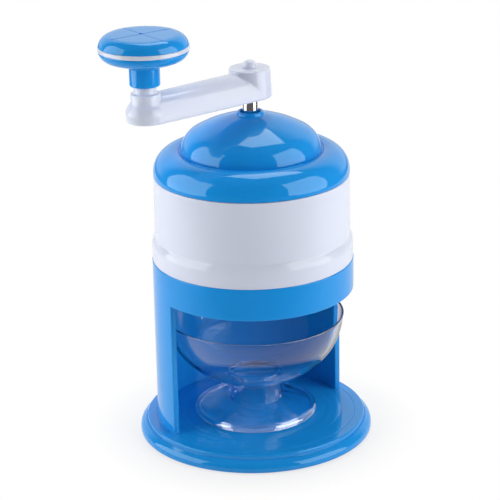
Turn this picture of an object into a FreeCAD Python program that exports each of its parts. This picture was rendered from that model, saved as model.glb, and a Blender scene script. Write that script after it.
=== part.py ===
import FreeCAD, Part
import Sketcher
import math
import os

# Hand cranked ice shaver.  Frame: +Z up, Z = 0 is the table, the shaft axis is the Z axis,
# and the open side of the stand, where the cup slides out, faces -Y.  All sizes in mm.

os.makedirs("parts", exist_ok=True)
doc = FreeCAD.newDocument("ice_shaver")
Vector = FreeCAD.Vector
Placement = FreeCAD.Placement
Rotation = FreeCAD.Rotation
UP = Vector(0, 0, 1)

SIZES = {
    # base disc of the stand
    "zero": (0, "origin"),
    "skirt_low": (0.8, "underside of the base skirt, carried by the rubber feet"),
    "base_edge_r": (62.7, "base radius at the underside"),
    "base_shoulder_r": (59.4, "radius where the convex edge ends"),
    "base_shoulder_z": (7.4, "height where the convex edge ends"),
    "base_edge_arc": (8.5, "radius of the convex edge in section"),
    "step_r": (58.9, "radius of the small step under the floor"),
    "floor_r": (58.3, "radius of the flat floor"),
    "floor_z": (9.0, "height of the floor the cup stands on"),
    "step_z": (8.4, "top of the step before the rounded corner"),
    "corner_arc": (0.6, "rounded corner of the floor"),
    "skirt_in_r": (60.2, "inside of the skirt"),
    "land_out_r": (56.0, "outer radius of the thick ring under the wall"),
    "land_in_r": (43.0, "inner radius of the thick ring under the wall"),
    "land_low": (1.6, "underside of the thick ring"),
    "hollow_z": (5.4, "roof of the hollow between skirt and ring"),
    "plate_low": (6.0, "underside of the floor plate"),
    # wall and ring of the stand
    "wall_out_r": (53.2, "outer radius of the wall"),
    "wall_in_r": (50.2, "inner radius of the wall"),
    "wall_reach": (3.6, "how far the ends of the wall stand in front of the shaft axis"),
    "window_top": (81.5, "top edge of the open front"),
    "ring_top": (98.5, "top of the ring, the hopper stands on it"),
    "flange_in_r": (45.2, "inner radius of the foot flange of the wall"),
    "flange_low": (5.0, "underside of the foot flange"),
    "flange_gap": (0.1, "play of the flange in its pocket"),
    # base screws and feet
    "screw_ring_r": (49.2, "screw circle of the base screws"),
    "base_screw_top": (8.2, "tip of the base screws"),
    "base_screw_seat": (3.4, "seat of the base screw heads"),
    "base_head_low": (1.8, "underside of the base screw heads"),
    "base_head_r": (2.8, "head radius of the base screws"),
    "base_shank_r": (1.4, "shank radius of the base screws"),
    "sink_r": (3.1, "counterbore radius for the base screw heads"),
    "small_gap": (0.5, "small clearance, also the depth of a screw recess"),
    "foot_ring_r": (50.0, "circle of the rubber feet"),
    "pad_r": (4.5, "radius of a rubber foot"),
    "pad_top": (2.6, "top of a rubber foot in its socket"),
    # hopper
    "band_r": (53.0, "radius of the band at the bottom of the hopper"),
    "band_top_r": (52.7, "radius of the band where it starts to taper"),
    "band_top_z": (107.6, "height where the band starts to taper"),
    "flare_r": (51.6, "hopper radius above the band"),
    "flare_z": (112.4, "height where the band has faded out"),
    "hopper_top_r": (51.2, "hopper radius at the lid seam"),
    "hopper_top": (143.8, "upper edge of the hopper"),
    "bore_r": (48.4, "inner radius of the hopper"),
    "spigot_r": (50.12, "outer radius of the spigot in the stand ring"),
    "spigot_in_r": (47.0, "inner radius of the spigot"),
    "spigot_low": (87.5, "lower end of the spigot, also the ice floor"),
    "ledge_z": (101.0, "height where the spigot bore widens"),
    "key_w": (4.0, "width of a locating key"),
    "key_slot_w": (4.6, "width of a key slot"),
    "key_out_r": (51.3, "outer reach of a locating key"),
    "key_slot_r": (51.7, "outer reach of a key slot"),
    "key_low": (92.0, "lower end of a locating key"),
    "key_slot_low": (91.5, "lower end of a key slot"),
    "rib_w": (3.0, "width of an ice rib"),
    "rib_in_r": (46.4, "inner reach of an ice rib"),
    "rib_top": (134.0, "top of an ice rib"),
    "boss_ring_r": (44.4, "screw circle of the ice floor"),
    "boss_r": (3.2, "radius of a screw boss in the spigot"),
    "boss_top": (94.0, "top of a screw boss"),
    # ice floor with slot, blade and screws
    "disc_r": (49.9, "radius of the ice floor disc"),
    "disc_low": (82.5, "underside of the ice floor disc"),
    "slot_start": (5.5, "inner end of the slot"),
    "slot_end": (44.0, "outer end of the slot"),
    "slot_back": (0.6, "slot edge under the blade"),
    "slot_front": (6.8, "slot edge ahead of the blade"),
    "blade_start": (6.0, "inner end of the blade"),
    "blade_len": (37.5, "length of the blade"),
    "blade_wide": (15.0, "width of the blade"),
    "blade_thick": (1.2, "thickness of the blade"),
    "bevel": (3.0, "width of the ground bevel"),
    "blade_y": (1.5, "position of the cutting edge ahead of the radius"),
    "edge_z": (88.2, "height of the cutting edge"),
    "blade_tilt": (22.0, "tilt of the blade in degrees"),
    "blade_hole_u": (11.4, "distance of the blade screws behind the edge"),
    "blade_hole_in": (8.0, "distance of a blade screw from the blade end"),
    "small_head_r": (2.6, "head radius of the small screws"),
    "small_head_t": (1.5, "head height of the small screws"),
    "small_shank_r": (1.3, "shank radius of the small screws"),
    "blade_grip": (2.4, "thread length of a blade screw in the disc"),
    "disc_head_deep": (1.7, "depth of the counterbore of a disc screw"),
    "disc_screw_len": (8.5, "shank length of a disc screw"),
    # lid
    "lid_r": (51.3, "radius of the lid"),
    "lid_low": (144.1, "lower edge of the lid"),
    "lid_round_z": (145.9, "height where the shoulder rounding starts"),
    "shoulder_arc": (11.2, "radius of the shoulder in section"),
    "valley_out_r": (38.4, "outer side of the valley round the dome"),
    "valley_out_z": (156.97, "height at the outer side of the valley"),
    "valley_r": (36.9, "foot of the dome"),
    "valley_z": (155.8, "height of the foot of the dome"),
    "dome_r": (36.6, "radius of the dome at its foot"),
    "dome_foot_z": (156.1, "height at which the dome wall starts"),
    "dome_side_arc": (13.5, "radius of the dome side in section"),
    "dome_bend_r": (29.8, "radius where dome side and dome top meet"),
    "dome_bend_z": (167.6, "height where dome side and dome top meet"),
    "dome_top_arc": (66.0, "radius of the dome top in section"),
    "boss_out_r": (7.1, "radius of the shaft boss"),
    "boss_foot_z": (175.5, "foot of the shaft boss"),
    "boss_side_z": (176.2, "height where the shaft boss starts to round"),
    "boss_crown_r": (6.15, "radius of the crest of the shaft boss"),
    "boss_crown_z": (177.4, "top of the shaft boss"),
    "boss_lip_z": (176.9, "inner lip of the shaft boss"),
    "boss_arc": (1.3, "rounding of the shaft boss"),
    "well_r": (5.4, "bore of the shaft boss and the bush seat"),
    "hub_r": (9.0, "radius of the hub inside the lid"),
    "hub_low": (165.9, "lower end of the hub inside the lid"),
    "dome_in_top_z": (172.2, "inside of the dome at the hub"),
    "dome_in_bend_r": (28.2, "inside bend of the dome, radius"),
    "dome_in_bend_z": (165.0, "inside bend of the dome, height"),
    "dome_in_top_arc": (60.0, "inside of the dome top in section"),
    "dome_in_r": (33.8, "inside radius of the dome"),
    "dome_in_foot_z": (155.0, "inside of the dome foot"),
    "dome_in_side_arc": (11.0, "inside of the dome side in section"),
    "shoulder_in_r": (40.1, "inside of the shoulder, radius"),
    "shoulder_in_z": (154.3, "inside of the shoulder, height"),
    "shoulder_in_arc": (7.5, "inside rounding of the shoulder"),
    "skirt_r": (48.32, "outer radius of the lid skirt in the hopper"),
    "lid_skirt_in_r": (45.6, "inner radius of the lid skirt"),
    "lid_skirt_low": (137.0, "lower end of the lid skirt"),
    "shoulder_side_z": (149.0, "inside of the lid where the rounding starts"),
    # bush, washer, spring
    "bush_bore_r": (4.06, "bore of the bush"),
    "bush_top": (174.8, "upper end of the bush"),
    "bush_low": (164.0, "underside of the bush flange"),
    "washer_r": (9.5, "radius of the thrust washer"),
    "washer_low": (102.0, "underside of the thrust washer"),
    "washer_top": (103.2, "upper side of the thrust washer"),
    "washer_bore_r": (4.08, "bore of the thrust washer"),
    "coil_r": (7.0, "mean radius of the spring"),
    "wire_r": (0.8, "radius of the spring wire"),
    "coil_turns": (10.0, "number of coils"),
    "end_turns": (1.0, "closed coils at each end"),
    # shaft and press plate
    "shaft_r": (4.0, "radius of the shaft"),
    "thread_r": (2.5, "radius of the threaded ends"),
    "shaft_low": (91.6, "lower end of the shaft"),
    "shaft_step": (98.5, "lower shoulder of the shaft"),
    "shaft_head": (196.0, "upper shoulder of the shaft"),
    "shaft_top": (202.1, "upper end of the shaft"),
    "flat_cut": (3.1, "distance of the drive flat from the axis"),
    "groove_r": (3.4, "radius of the stop ring groove"),
    "groove_low": (174.9, "lower side of the stop ring groove"),
    "stop_t": (0.9, "thickness of the stop ring"),
    "stop_r": (5.1, "outer radius of the stop ring"),
    "stop_gap": (4.2, "opening of the stop ring"),
    "plate_r": (44.8, "radius of the press plate"),
    "plate_under": (95.0, "underside of the press plate"),
    "plate_top": (98.0, "upper side of the press plate"),
    "plate_rim_r": (42.6, "inside of the raised rim of the press plate"),
    "plate_rim_z": (100.4, "top of the raised rim of the press plate"),
    "spoke_w": (2.4, "width of a stiffening rib on the press plate"),
    "nut_af": (8.0, "width across flats of the plate nut"),
    "nut_t": (3.2, "height of the plate nut"),
    "spike_r": (1.3, "radius of a spike"),
    "spike_root": (97.0, "root of a spike in the press plate"),
    "spike_neck": (92.6, "height where the point of a spike starts"),
    "spike_tip": (89.8, "tip of a spike"),
    "spike_tip_r": (0.25, "radius at the tip of a spike"),
    "spike_ring_1": (19.0, "inner circle of spikes"),
    "spike_ring_2": (35.0, "outer circle of spikes"),
    # crank arm
    "arm_turn": (188.0, "direction of the arm, degrees from +X"),
    "crank_len": (67.2, "distance between shaft and knob axis"),
    "arm_low": (185.1, "underside of the arm"),
    "arm_deep": (15.1, "height of the block at the shaft"),
    "arm_block_r": (11.4, "radius of the block at the shaft, at its foot"),
    "block_top_r": (10.65, "radius of the block at its top"),
    "arm_end_r": (10.0, "radius of the knob end of the arm"),
    "arm_crown_r": (11.5, "radius of the crowned top"),
    "arm_crown_z": (198.6, "height of the crowned top"),
    "arm_soft": (0.6, "rounding of the block top"),
    "end_foot_r": (9.6, "radius of the knob end at its foot"),
    "end_wide_z": (188.8, "height where the knob end is widest"),
    "end_foot_arc": (18.0, "bulge of the knob end below its widest place"),
    "end_bend_r": (8.3, "radius in the middle of the shoulder"),
    "end_bend_z": (193.7, "height in the middle of the shoulder"),
    "end_bend_arc": (6.2, "bulge of the shoulder"),
    "collar_r": (7.4, "radius of the collar"),
    "collar_foot_z": (195.6, "foot of the collar"),
    "collar_arc": (2.6, "hollow between shoulder and collar"),
    "collar_top": (199.6, "top of the collar"),
    "post_wide_r": (5.7, "radius of the post under the knob"),
    "post_wide_z": (204.6, "shoulder of the post that carries the knob"),
    "post_r": (4.6, "radius of the post inside the knob"),
    "post_top": (217.9, "top of the post"),
    "cap_r": (4.0, "radius of the cap nut"),
    "cap_side_z": (200.6, "height where the cap nut starts to round"),
    "cap_top": (204.2, "top of the cap nut"),
    "cap_nose_r": (0.9, "radius of the small flat on the cap nut"),
    "cap_arc": (3.9, "rounding of the cap nut"),
    "cap_bore_z": (202.4, "end of the thread in the cap nut"),
    # knob
    "stem_r": (7.65, "radius of the knob stem"),
    "stem_low": (203.4, "lower end of the knob stem"),
    "stem_soft": (0.8, "rounding at the lower end of the stem"),
    "stem_top": (212.4, "height where the stem widens"),
    "under_1_r": (9.1, "underside of the knob, first point"),
    "under_1_z": (213.9, "underside of the knob, first point"),
    "under_1_arc": (1.5, "hollow rounding between stem and underside"),
    "under_2_r": (17.8, "underside of the knob, second point"),
    "under_2_z": (216.2, "underside of the knob, second point"),
    "under_2_arc": (40.0, "rounding of the underside"),
    "under_3_r": (22.3, "lower edge of the knob"),
    "under_3_z": (220.6, "lower edge of the knob"),
    "under_3_arc": (6.4, "rounding at the lower edge"),
    "knob_split_z": (221.4, "joint between knob base and white ring"),
    "knob_bore_r": (4.66, "bore of the knob"),
    "recess_r": (6.0, "recess round the wide part of the post"),
    "recess_z": (204.7, "roof of that recess"),
    "knob_ledge_z": (217.6, "ledge under the knob washer"),
    "knob_hollow_r": (15.0, "radius of the hollow in the knob"),
    "knob_pit_r": (9.6, "radius of the pit round the washer"),
    "knob_pit_z": (219.0, "top of the pit round the washer"),
    "white_r": (22.7, "radius of the white ring"),
    "white_top": (223.6, "top of the white ring"),
    "white_soft": (0.5, "rounding of the white ring"),
    "cap_edge_r": (22.3, "radius of the knob cap at the white ring"),
    "cap_flat_r": (17.9, "radius of the flat top"),
    "cap_flat_z": (229.0, "height of the flat top"),
    "cap_side_arc": (6.8, "rounding of the knob cap"),
    "cap_in_r": (19.0, "inside of the knob cap"),
    "cap_in_z": (226.5, "inside of the flat top"),
    "plug_r": (14.9, "outer radius of the cap plug"),
    "plug_in_r": (12.6, "inner radius of the cap plug"),
    "plug_low": (222.0, "lower end of the cap plug"),
    "cross_w": (0.6, "width of a cross groove"),
    "cross_deep": (0.5, "depth of a cross groove"),
    "cross_turn": (4.0, "direction of the cross grooves, degrees from +X"),
    "cross_shift": (1.2, "distance of the first groove from the knob axis"),
    "dimple_r": (0.9, "radius of the gate dimple"),
    "dimple_shift": (2.2, "distance of the dimple from the knob axis"),
    "knob_washer_r": (8.6, "radius of the knob washer"),
    "knob_washer_t": (1.0, "thickness of the knob washer"),
    "knob_head_r": (4.4, "head radius of the knob screw"),
    "knob_head_t": (2.2, "head height of the knob screw"),
    "knob_shank_r": (1.6, "shank radius of the knob screw"),
    "knob_screw_low": (204.0, "tip of the knob screw"),
    # cup
    "cup_foot_r": (32.9, "radius of the cup foot"),
    "cup_foot_in_r": (30.6, "inside of the standing ring of the foot"),
    "cup_foot_top": (12.4, "top of the foot rim"),
    "cup_foot_flat_r": (30.1, "inner edge of the foot rim"),
    "cup_soft": (0.4, "rounding of the foot rim"),
    "cup_stem_r": (15.0, "radius of the stem"),
    "cup_stem_low": (18.2, "height where the foot meets the stem"),
    "cup_stem_top": (29.25, "height where the stem meets the bowl"),
    "cup_slope_arc": (120.0, "hollow rounding of the foot"),
    "cup_bend_r": (38.9, "radius where the bowl bottom and side meet"),
    "cup_bend_z": (43.0, "height where the bowl bottom and side meet"),
    "cup_floor_arc": (45.5, "rounding of the bowl bottom"),
    "cup_side_arc": (35.4, "rounding of the bowl side"),
    "cup_rim_r": (47.6, "radius of the bowl under the rim bead"),
    "cup_bead_z": (64.6, "underside of the rim bead"),
    "cup_bead_r": (48.1, "outer radius of the rim bead"),
    "cup_bead_side_z": (65.9, "height where the rim bead starts to round"),
    "cup_bead_arc": (1.15, "rounding of the rim bead"),
    "cup_in_r": (45.9, "inner radius at the rim"),
    "cup_in_bend_r": (37.4, "inside of the bend, radius"),
    "cup_in_bend_z": (44.35, "inside of the bend, height"),
    "cup_in_floor_z": (30.3, "inside bottom of the bowl"),
    "cup_in_flat_r": (1.5, "radius of the flat spot at the inside bottom"),
    "cup_in_floor_arc": (44.0, "inside rounding of the bowl bottom"),
    "cup_in_side_arc": (33.6, "inside rounding of the bowl side"),
    "hollow_r": (12.9, "inside of the hollow stem"),
    "hollow_top": (26.4, "roof of the hollow stem"),
    "hollow_low": (16.0, "height where the hollow stem widens"),
    "foot_roof_r": (29.4, "outer edge of the roof under the foot"),
    "foot_roof_z": (10.6, "height of the roof under the foot"),
}

sheet = doc.addObject("Spreadsheet::Sheet", "sizes")
for row, (alias, (size, note)) in enumerate(SIZES.items(), start=1):
    sheet.set(f"A{row}", note)
    sheet.set(f"B{row}", str(size))
    sheet.setAlias(f"B{row}", alias)
doc.recompute()


# ---------------------------------------------------------------- sizes and primitives

def value(text):
    """Number behind a sum of size names such as "ring_top - window_top"."""
    total, sign = 0.0, 1.0
    for word in text.split():
        if word in "+-":
            sign = 1.0 if word == "+" else -1.0
            continue
        total += sign * (SIZES[word][0] if word in SIZES else float(word))
    return total


def bind(thing, prop, text):
    """Tie a property or constraint to the size sheet."""
    words = [f"sizes.{word}" if word in SIZES else word for word in text.split()]
    thing.setExpression(prop, " ".join(words))


def span(high, low):
    """Text for high minus low, where low may itself be a sum."""
    flipped = " ".join({"+": "-", "-": "+"}.get(word, word) for word in low.split())
    return f"{high} - {flipped}"


def bind_base(thing, x, y, z):
    for axis, text in zip("xyz", (x, y, z)):
        bind(thing, f"Placement.Base.{axis}", text)


def turned(thing, angle, axis=UP):
    """Turn a thing about an axis through the origin."""
    thing.Placement = Placement(Vector(), Rotation(axis, angle)) * thing.Placement
    return thing


def cylinder(name, radius, low, high, x="zero", y="zero"):
    thing = doc.addObject("Part::Cylinder", name)
    bind(thing, "Radius", radius)
    bind(thing, "Height", span(high, low))
    bind_base(thing, x, y, low)
    return thing


def cone(name, radius_low, radius_high, low, high):
    thing = doc.addObject("Part::Cone", name)
    bind(thing, "Radius1", radius_low)
    bind(thing, "Radius2", radius_high)
    bind(thing, "Height", span(high, low))
    bind_base(thing, "zero", "zero", low)
    return thing


def box(name, x0, x1, y0, y1, z0, z1):
    thing = doc.addObject("Part::Box", name)
    bind(thing, "Length", span(x1, x0))
    bind(thing, "Width", span(y1, y0))
    bind(thing, "Height", span(z1, z0))
    bind_base(thing, x0, y0, z0)
    return thing


def polar(thing, angles, radius="zero"):
    """Copies of a thing moved out along +X and turned to each angle about Z."""
    thing.Visibility = False
    copies = []
    for number, angle in enumerate(angles):
        copy = doc.addObject("Part::Compound", f"{thing.Name}_at_{number}")
        copy.Links = [thing]
        move = Placement(Vector(value(radius), 0, 0), Rotation())
        copy.Placement = Placement(Vector(), Rotation(UP, angle)) * move
        copies.append(copy)
    return copies


def fuse(name, *things):
    result = doc.addObject("Part::MultiFuse", name)
    result.Shapes = list(things)
    result.Refine = True
    return result


def cut(name, base, *tools):
    result = doc.addObject("Part::Cut", name)
    result.Base = base
    if len(tools) == 1:
        result.Tool = tools[0]
    else:
        cutters = doc.addObject("Part::Compound", f"{name}_cutters")
        cutters.Links = list(tools)
        result.Tool = cutters
    result.Refine = True
    return result


def common(name, first, second):
    result = doc.addObject("Part::MultiCommon", name)
    result.Shapes = [first, second]
    return result


def group(name, things):
    """One part made of separate equal solids."""
    result = doc.addObject("Part::Compound", name)
    result.Links = list(things)
    return result


# ---------------------------------------------------------------- turned bodies

def origin_plane(body, role):
    return next(f for f in body.Origin.OriginFeatures if f.Role == role)


def section_arc(start, end, radius, side):
    """Arc from start to end; side +1 bulges to the right of the travel, -1 to the left."""
    chord = end - start
    half = chord.Length / 2
    height = math.sqrt(max(radius * radius - half * half, 0.0))
    left = Vector(-chord.y, chord.x, 0).normalize()
    centre = (start + end) * 0.5 + left * (height * side)
    a0 = math.atan2(start.y - centre.y, start.x - centre.x)
    a1 = math.atan2(end.y - centre.y, end.x - centre.x)
    circle = Part.Circle(centre, UP, radius)
    if side > 0:
        return Part.ArcOfCircle(circle, a0, a1)
    return Part.ArcOfCircle(circle, a1, a0)


def section_sketch(body, name, outline, role="XZ_Plane"):
    """Closed outline of (x, y) or (x, y, radius, side); the arc leads to its own point."""
    sketch = body.newObject("Sketcher::SketchObject", name)
    sketch.AttachmentSupport = [(origin_plane(body, role), "")]
    sketch.MapMode = "FlatFace"
    points = [Vector(value(corner[0]), value(corner[1]), 0) for corner in outline]
    ends = []
    for index, corner in enumerate(outline):
        start, end = points[index - 1], points[index]
        if len(corner) == 2:
            sketch.addGeometry(Part.LineSegment(start, end), False)
            ends.append((1, 2))
        else:
            sketch.addGeometry(section_arc(start, end, value(corner[2]), corner[3]), False)
            ends.append((1, 2) if corner[3] > 0 else (2, 1))
    for index, corner in enumerate(outline):
        following = (index + 1) % len(outline)
        sketch.addConstraint(Sketcher.Constraint(
            "Coincident", index, ends[index][1], following, ends[following][0]))
    for index, corner in enumerate(outline):
        for kind, text in (("DistanceX", corner[0]), ("DistanceY", corner[1])):
            number = sketch.addConstraint(Sketcher.Constraint(
                kind, -1, 1, index, ends[index][1], value(text)))
            bind(sketch, f"Constraints[{number}]", text)
        if len(corner) == 4:
            number = sketch.addConstraint(Sketcher.Constraint(
                "Radius", index, value(corner[2])))
            bind(sketch, f"Constraints[{number}]", corner[2])
    return sketch


def turned_body(name, outline):
    """Solid of revolution about Z from an (r, z) outline."""
    body = doc.addObject("PartDesign::Body", name)
    sketch = section_sketch(body, f"{name}_section", outline)
    doc.recompute()
    solid = body.newObject("PartDesign::Revolution", f"{name}_turned")
    solid.Profile = sketch
    solid.ReferenceAxis = (sketch, ["V_Axis"])
    solid.Angle = 360
    body.Tip = solid
    doc.recompute()
    return body


# ---------------------------------------------------------------- stand

WALL_SCREWS = (20, 66, 114, 160)
FEET = (45, 135, 225, 315)
KEYS = (30, 150, 270)


def make_stand_base():
    disc = turned_body("base_disc", [
        ("zero", "plate_low"), ("land_in_r", "plate_low"), ("land_in_r", "land_low"),
        ("land_out_r", "land_low"), ("land_out_r", "hollow_z"), ("skirt_in_r", "hollow_z"),
        ("skirt_in_r", "skirt_low"), ("base_edge_r", "skirt_low"),
        ("base_shoulder_r", "base_shoulder_z", "base_edge_arc", 1),
        ("step_r", "base_shoulder_z"), ("step_r", "step_z"),
        ("floor_r", "floor_z", "corner_arc", 1), ("zero", "floor_z")])
    pocket_ring = turned_body("flange_pocket_ring", [
        ("flange_in_r - flange_gap", "flange_low"), ("wall_out_r + flange_gap", "flange_low"),
        ("wall_out_r + flange_gap", "floor_z + corner_arc"),
        ("flange_in_r - flange_gap", "floor_z + corner_arc")])
    rear = box("pocket_rear_half", "zero - base_edge_r", "base_edge_r",
               "zero - wall_reach - flange_gap", "base_edge_r", "zero", "ring_top")
    pocket = common("flange_pocket", pocket_ring, rear)
    hole = cylinder("base_screw_hole", "base_shank_r", "zero", "floor_z")
    sink = cylinder("base_screw_sink", "sink_r", "zero", "base_screw_seat")
    screw_cut = fuse("base_screw_cut", hole, sink)
    socket = cylinder("pad_socket", "pad_r", "zero", "pad_top")
    return cut("stand_base", disc, pocket,
               *polar(screw_cut, WALL_SCREWS, "screw_ring_r"),
               *polar(socket, FEET, "foot_ring_r"))


def make_stand_shell():
    tube = turned_body("shell_tube", [
        ("flange_in_r", "flange_low"), ("wall_out_r", "flange_low"), ("wall_out_r", "ring_top"),
        ("wall_in_r", "ring_top"), ("wall_in_r", "floor_z"), ("flange_in_r", "floor_z")])
    window = box("window_cut", "zero - base_edge_r", "base_edge_r",
                 "zero - base_edge_r", "zero - wall_reach", "zero", "window_top")
    pilot = cylinder("shell_pilot", "base_shank_r", "zero", "base_screw_top")
    slot = doc.addObject("Part::Box", "key_slot")
    bind(slot, "Length", "key_slot_r")
    bind(slot, "Width", "key_slot_w")
    bind(slot, "Height", "ring_top - key_slot_low + small_gap")
    slot.setExpression("Placement.Base.y", "-sizes.key_slot_w / 2")
    bind(slot, "Placement.Base.z", "key_slot_low")
    return cut("stand_shell", tube, window, *polar(pilot, WALL_SCREWS, "screw_ring_r"),
               *polar(slot, KEYS))


def make_base_screws():
    shank = cylinder("base_shank", "base_shank_r", "base_screw_seat", "base_screw_top")
    head = cylinder("base_head", "base_head_r", "base_head_low", "base_screw_seat")
    drive = drive_cross("base_drive", "base_head_low", "small_gap")
    screw = cut("base_screw", fuse("base_screw_blank", shank, head), drive)
    return group("base_screws", polar(screw, WALL_SCREWS, "screw_ring_r"))


def drive_cross(name, low, deep):
    """Cross recess cut upwards into a head whose face is at the given height."""
    bars = []
    for number, (length, width) in enumerate((("cap_arc", "cross_w"), ("cross_w", "cap_arc"))):
        bar = doc.addObject("Part::Box", f"{name}_bar_{number}")
        bind(bar, "Length", length)
        bind(bar, "Width", width)
        bind(bar, "Height", f"{deep} + {deep}")
        bar.setExpression("Placement.Base.x", f"-sizes.{length} / 2")
        bar.setExpression("Placement.Base.y", f"-sizes.{width} / 2")
        bind(bar, "Placement.Base.z", f"{low} - {deep}")
        bars.append(bar)
    return fuse(name, *bars)


def make_base_feet():
    pad = cylinder("rubber_pad", "pad_r", "zero", "pad_top")
    return group("base_feet", polar(pad, FEET, "foot_ring_r"))


# ---------------------------------------------------------------- hopper, ice floor, blade

RIBS = (45, 135, 225, 315)
DISC_SCREWS = (90, 210, 330)


def make_hopper_shell():
    shell = turned_body("hopper_tube", [
        ("spigot_in_r", "spigot_low"), ("spigot_r", "spigot_low"), ("spigot_r", "ring_top"),
        ("band_r", "ring_top"), ("band_top_r", "band_top_z"), ("flare_r", "flare_z"),
        ("hopper_top_r", "hopper_top"), ("bore_r", "hopper_top"), ("bore_r", "ledge_z"),
        ("spigot_in_r", "ring_top")])
    key = doc.addObject("Part::Box", "hopper_key")
    bind(key, "Length", "key_out_r - spigot_in_r - stop_t")
    bind(key, "Width", "key_w")
    bind(key, "Height", "ring_top - key_low")
    bind(key, "Placement.Base.x", "spigot_in_r + stop_t")
    key.setExpression("Placement.Base.y", "-sizes.key_w / 2")
    bind(key, "Placement.Base.z", "key_low")
    rib = doc.addObject("Part::Box", "ice_rib")
    bind(rib, "Length", "bore_r + stop_t - rib_in_r")
    bind(rib, "Width", "rib_w")
    bind(rib, "Height", "rib_top - ring_top")
    bind(rib, "Placement.Base.x", "rib_in_r")
    rib.setExpression("Placement.Base.y", "-sizes.rib_w / 2")
    bind(rib, "Placement.Base.z", "ring_top")
    boss = cylinder("disc_boss", "boss_r", "spigot_low", "boss_top")
    pilot = cylinder("disc_pilot", "small_shank_r", "spigot_low", "boss_top - stop_t")
    blank = fuse("hopper_blank", shell, *polar(key, KEYS), *polar(rib, RIBS),
                 *polar(boss, DISC_SCREWS, "boss_ring_r"))
    return cut("hopper_shell", blank, *polar(pilot, DISC_SCREWS, "boss_ring_r"))


def on_blade(thing, u_back, x):
    """Place a thing built about Z so that Z is the blade normal, u_back behind the edge."""
    tilt = Rotation(Vector(1, 0, 0), value("blade_tilt"))
    edge = Vector(0, value("blade_y"), value("edge_z"))
    offset = tilt.multVec(Vector(0, -u_back, 0))
    thing.Placement = Placement(edge + offset + Vector(x, 0, 0), tilt)
    return thing


def blade_screw_stations():
    first = value("blade_start + blade_hole_in")
    last = value("blade_start + blade_len - blade_hole_in")
    return first, last


def make_blade_disc():
    disc = cylinder("floor_disc", "disc_r", "disc_low", "spigot_low")
    slot = box("shaving_slot", "slot_start", "slot_end", "slot_back", "slot_front",
               "disc_low - pad_r", "spigot_low + pad_r")
    pocket = doc.addObject("Part::Box", "blade_pocket")
    bind(pocket, "Length", "slot_end - slot_start")
    bind(pocket, "Width", "blade_wide + stop_t")
    bind(pocket, "Height", "floor_z")
    tilt = Rotation(Vector(1, 0, 0), value("blade_tilt"))
    corner = tilt.multVec(Vector(0, -value("blade_wide + small_gap"), -value("floor_z")))
    edge = Vector(value("slot_start"), value("blade_y"), value("edge_z"))
    pocket.Placement = Placement(edge + corner, tilt)
    holes = []
    for number, station in enumerate(blade_screw_stations()):
        hole = doc.addObject("Part::Cylinder", f"blade_pilot_{number}")
        bind(hole, "Radius", "small_shank_r")
        bind(hole, "Height", "blade_grip")
        holes.append(on_blade(hole, value("blade_hole_u"), station))
    through = cylinder("disc_through", "small_shank_r", "disc_low", "spigot_low")
    sink = doc.addObject("Part::Cylinder", "disc_sink")
    bind(sink, "Radius", "small_head_r + flange_gap + flange_gap")
    bind(sink, "Height", "disc_head_deep")
    bind(sink, "Placement.Base.z", "disc_low")
    screw_cut = fuse("disc_screw_cut", through, sink)
    centre = cylinder("nut_clearance", "shaft_r", "disc_low + blade_grip", "spigot_low")
    return cut("blade_disc", disc, slot, pocket, centre, *holes,
               *polar(screw_cut, DISC_SCREWS, "boss_ring_r"))


def make_blade():
    body = doc.addObject("PartDesign::Body", "blade_blank")
    sketch = section_sketch(body, "blade_section", [
        ("zero", "zero"), ("zero - blade_wide", "zero"),
        ("zero - blade_wide", "zero - blade_thick"), ("zero - bevel", "zero - blade_thick")],
        role="YZ_Plane")
    doc.recompute()
    pad = body.newObject("PartDesign::Pad", "blade_pad")
    pad.Profile = sketch
    bind(pad, "Length", "blade_len")
    body.Tip = pad
    tilt = Rotation(Vector(1, 0, 0), value("blade_tilt"))
    body.Placement = Placement(
        Vector(value("blade_start"), value("blade_y"), value("edge_z")), tilt)
    holes = []
    for number, station in enumerate(blade_screw_stations()):
        hole = doc.addObject("Part::Cylinder", f"blade_hole_{number}")
        bind(hole, "Radius", "small_shank_r")
        bind(hole, "Height", "pad_r")
        on_blade(hole, value("blade_hole_u"), station)
        hole.Placement = hole.Placement * Placement(Vector(0, 0, -value("pad_r") / 2), Rotation())
        holes.append(hole)
    return cut("blade", body, *holes)


def small_screw(name, grip):
    """Screw pointing up +Z from the seat of its head at the origin."""
    shank = doc.addObject("Part::Cylinder", f"{name}_shank")
    bind(shank, "Radius", "small_shank_r")
    bind(shank, "Height", grip)
    head = doc.addObject("Part::Cylinder", f"{name}_head")
    bind(head, "Radius", "small_head_r")
    bind(head, "Height", "small_head_t")
    bind(head, "Placement.Base.z", "zero - small_head_t")
    drive = drive_cross(f"{name}_drive", "zero - small_head_t", "small_gap")
    return cut(name, fuse(f"{name}_blank", shank, head), drive)


def make_blade_screws():
    screws = []
    for number, station in enumerate(blade_screw_stations()):
        screw = small_screw(f"blade_screw_{number}", "blade_grip + blade_thick")
        on_blade(screw, value("blade_hole_u"), station)
        drop = Placement(Vector(0, 0, -value("blade_thick")), Rotation())
        screw.Placement = screw.Placement * drop
        screws.append(screw)
    return group("blade_screws", screws)


def make_disc_screws():
    screw = small_screw("disc_screw", "disc_screw_len")
    bind(screw, "Placement.Base.z", "disc_low + disc_head_deep")
    return group("disc_screws", polar(screw, DISC_SCREWS, "boss_ring_r"))


# ---------------------------------------------------------------- lid, bush, spring

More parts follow.
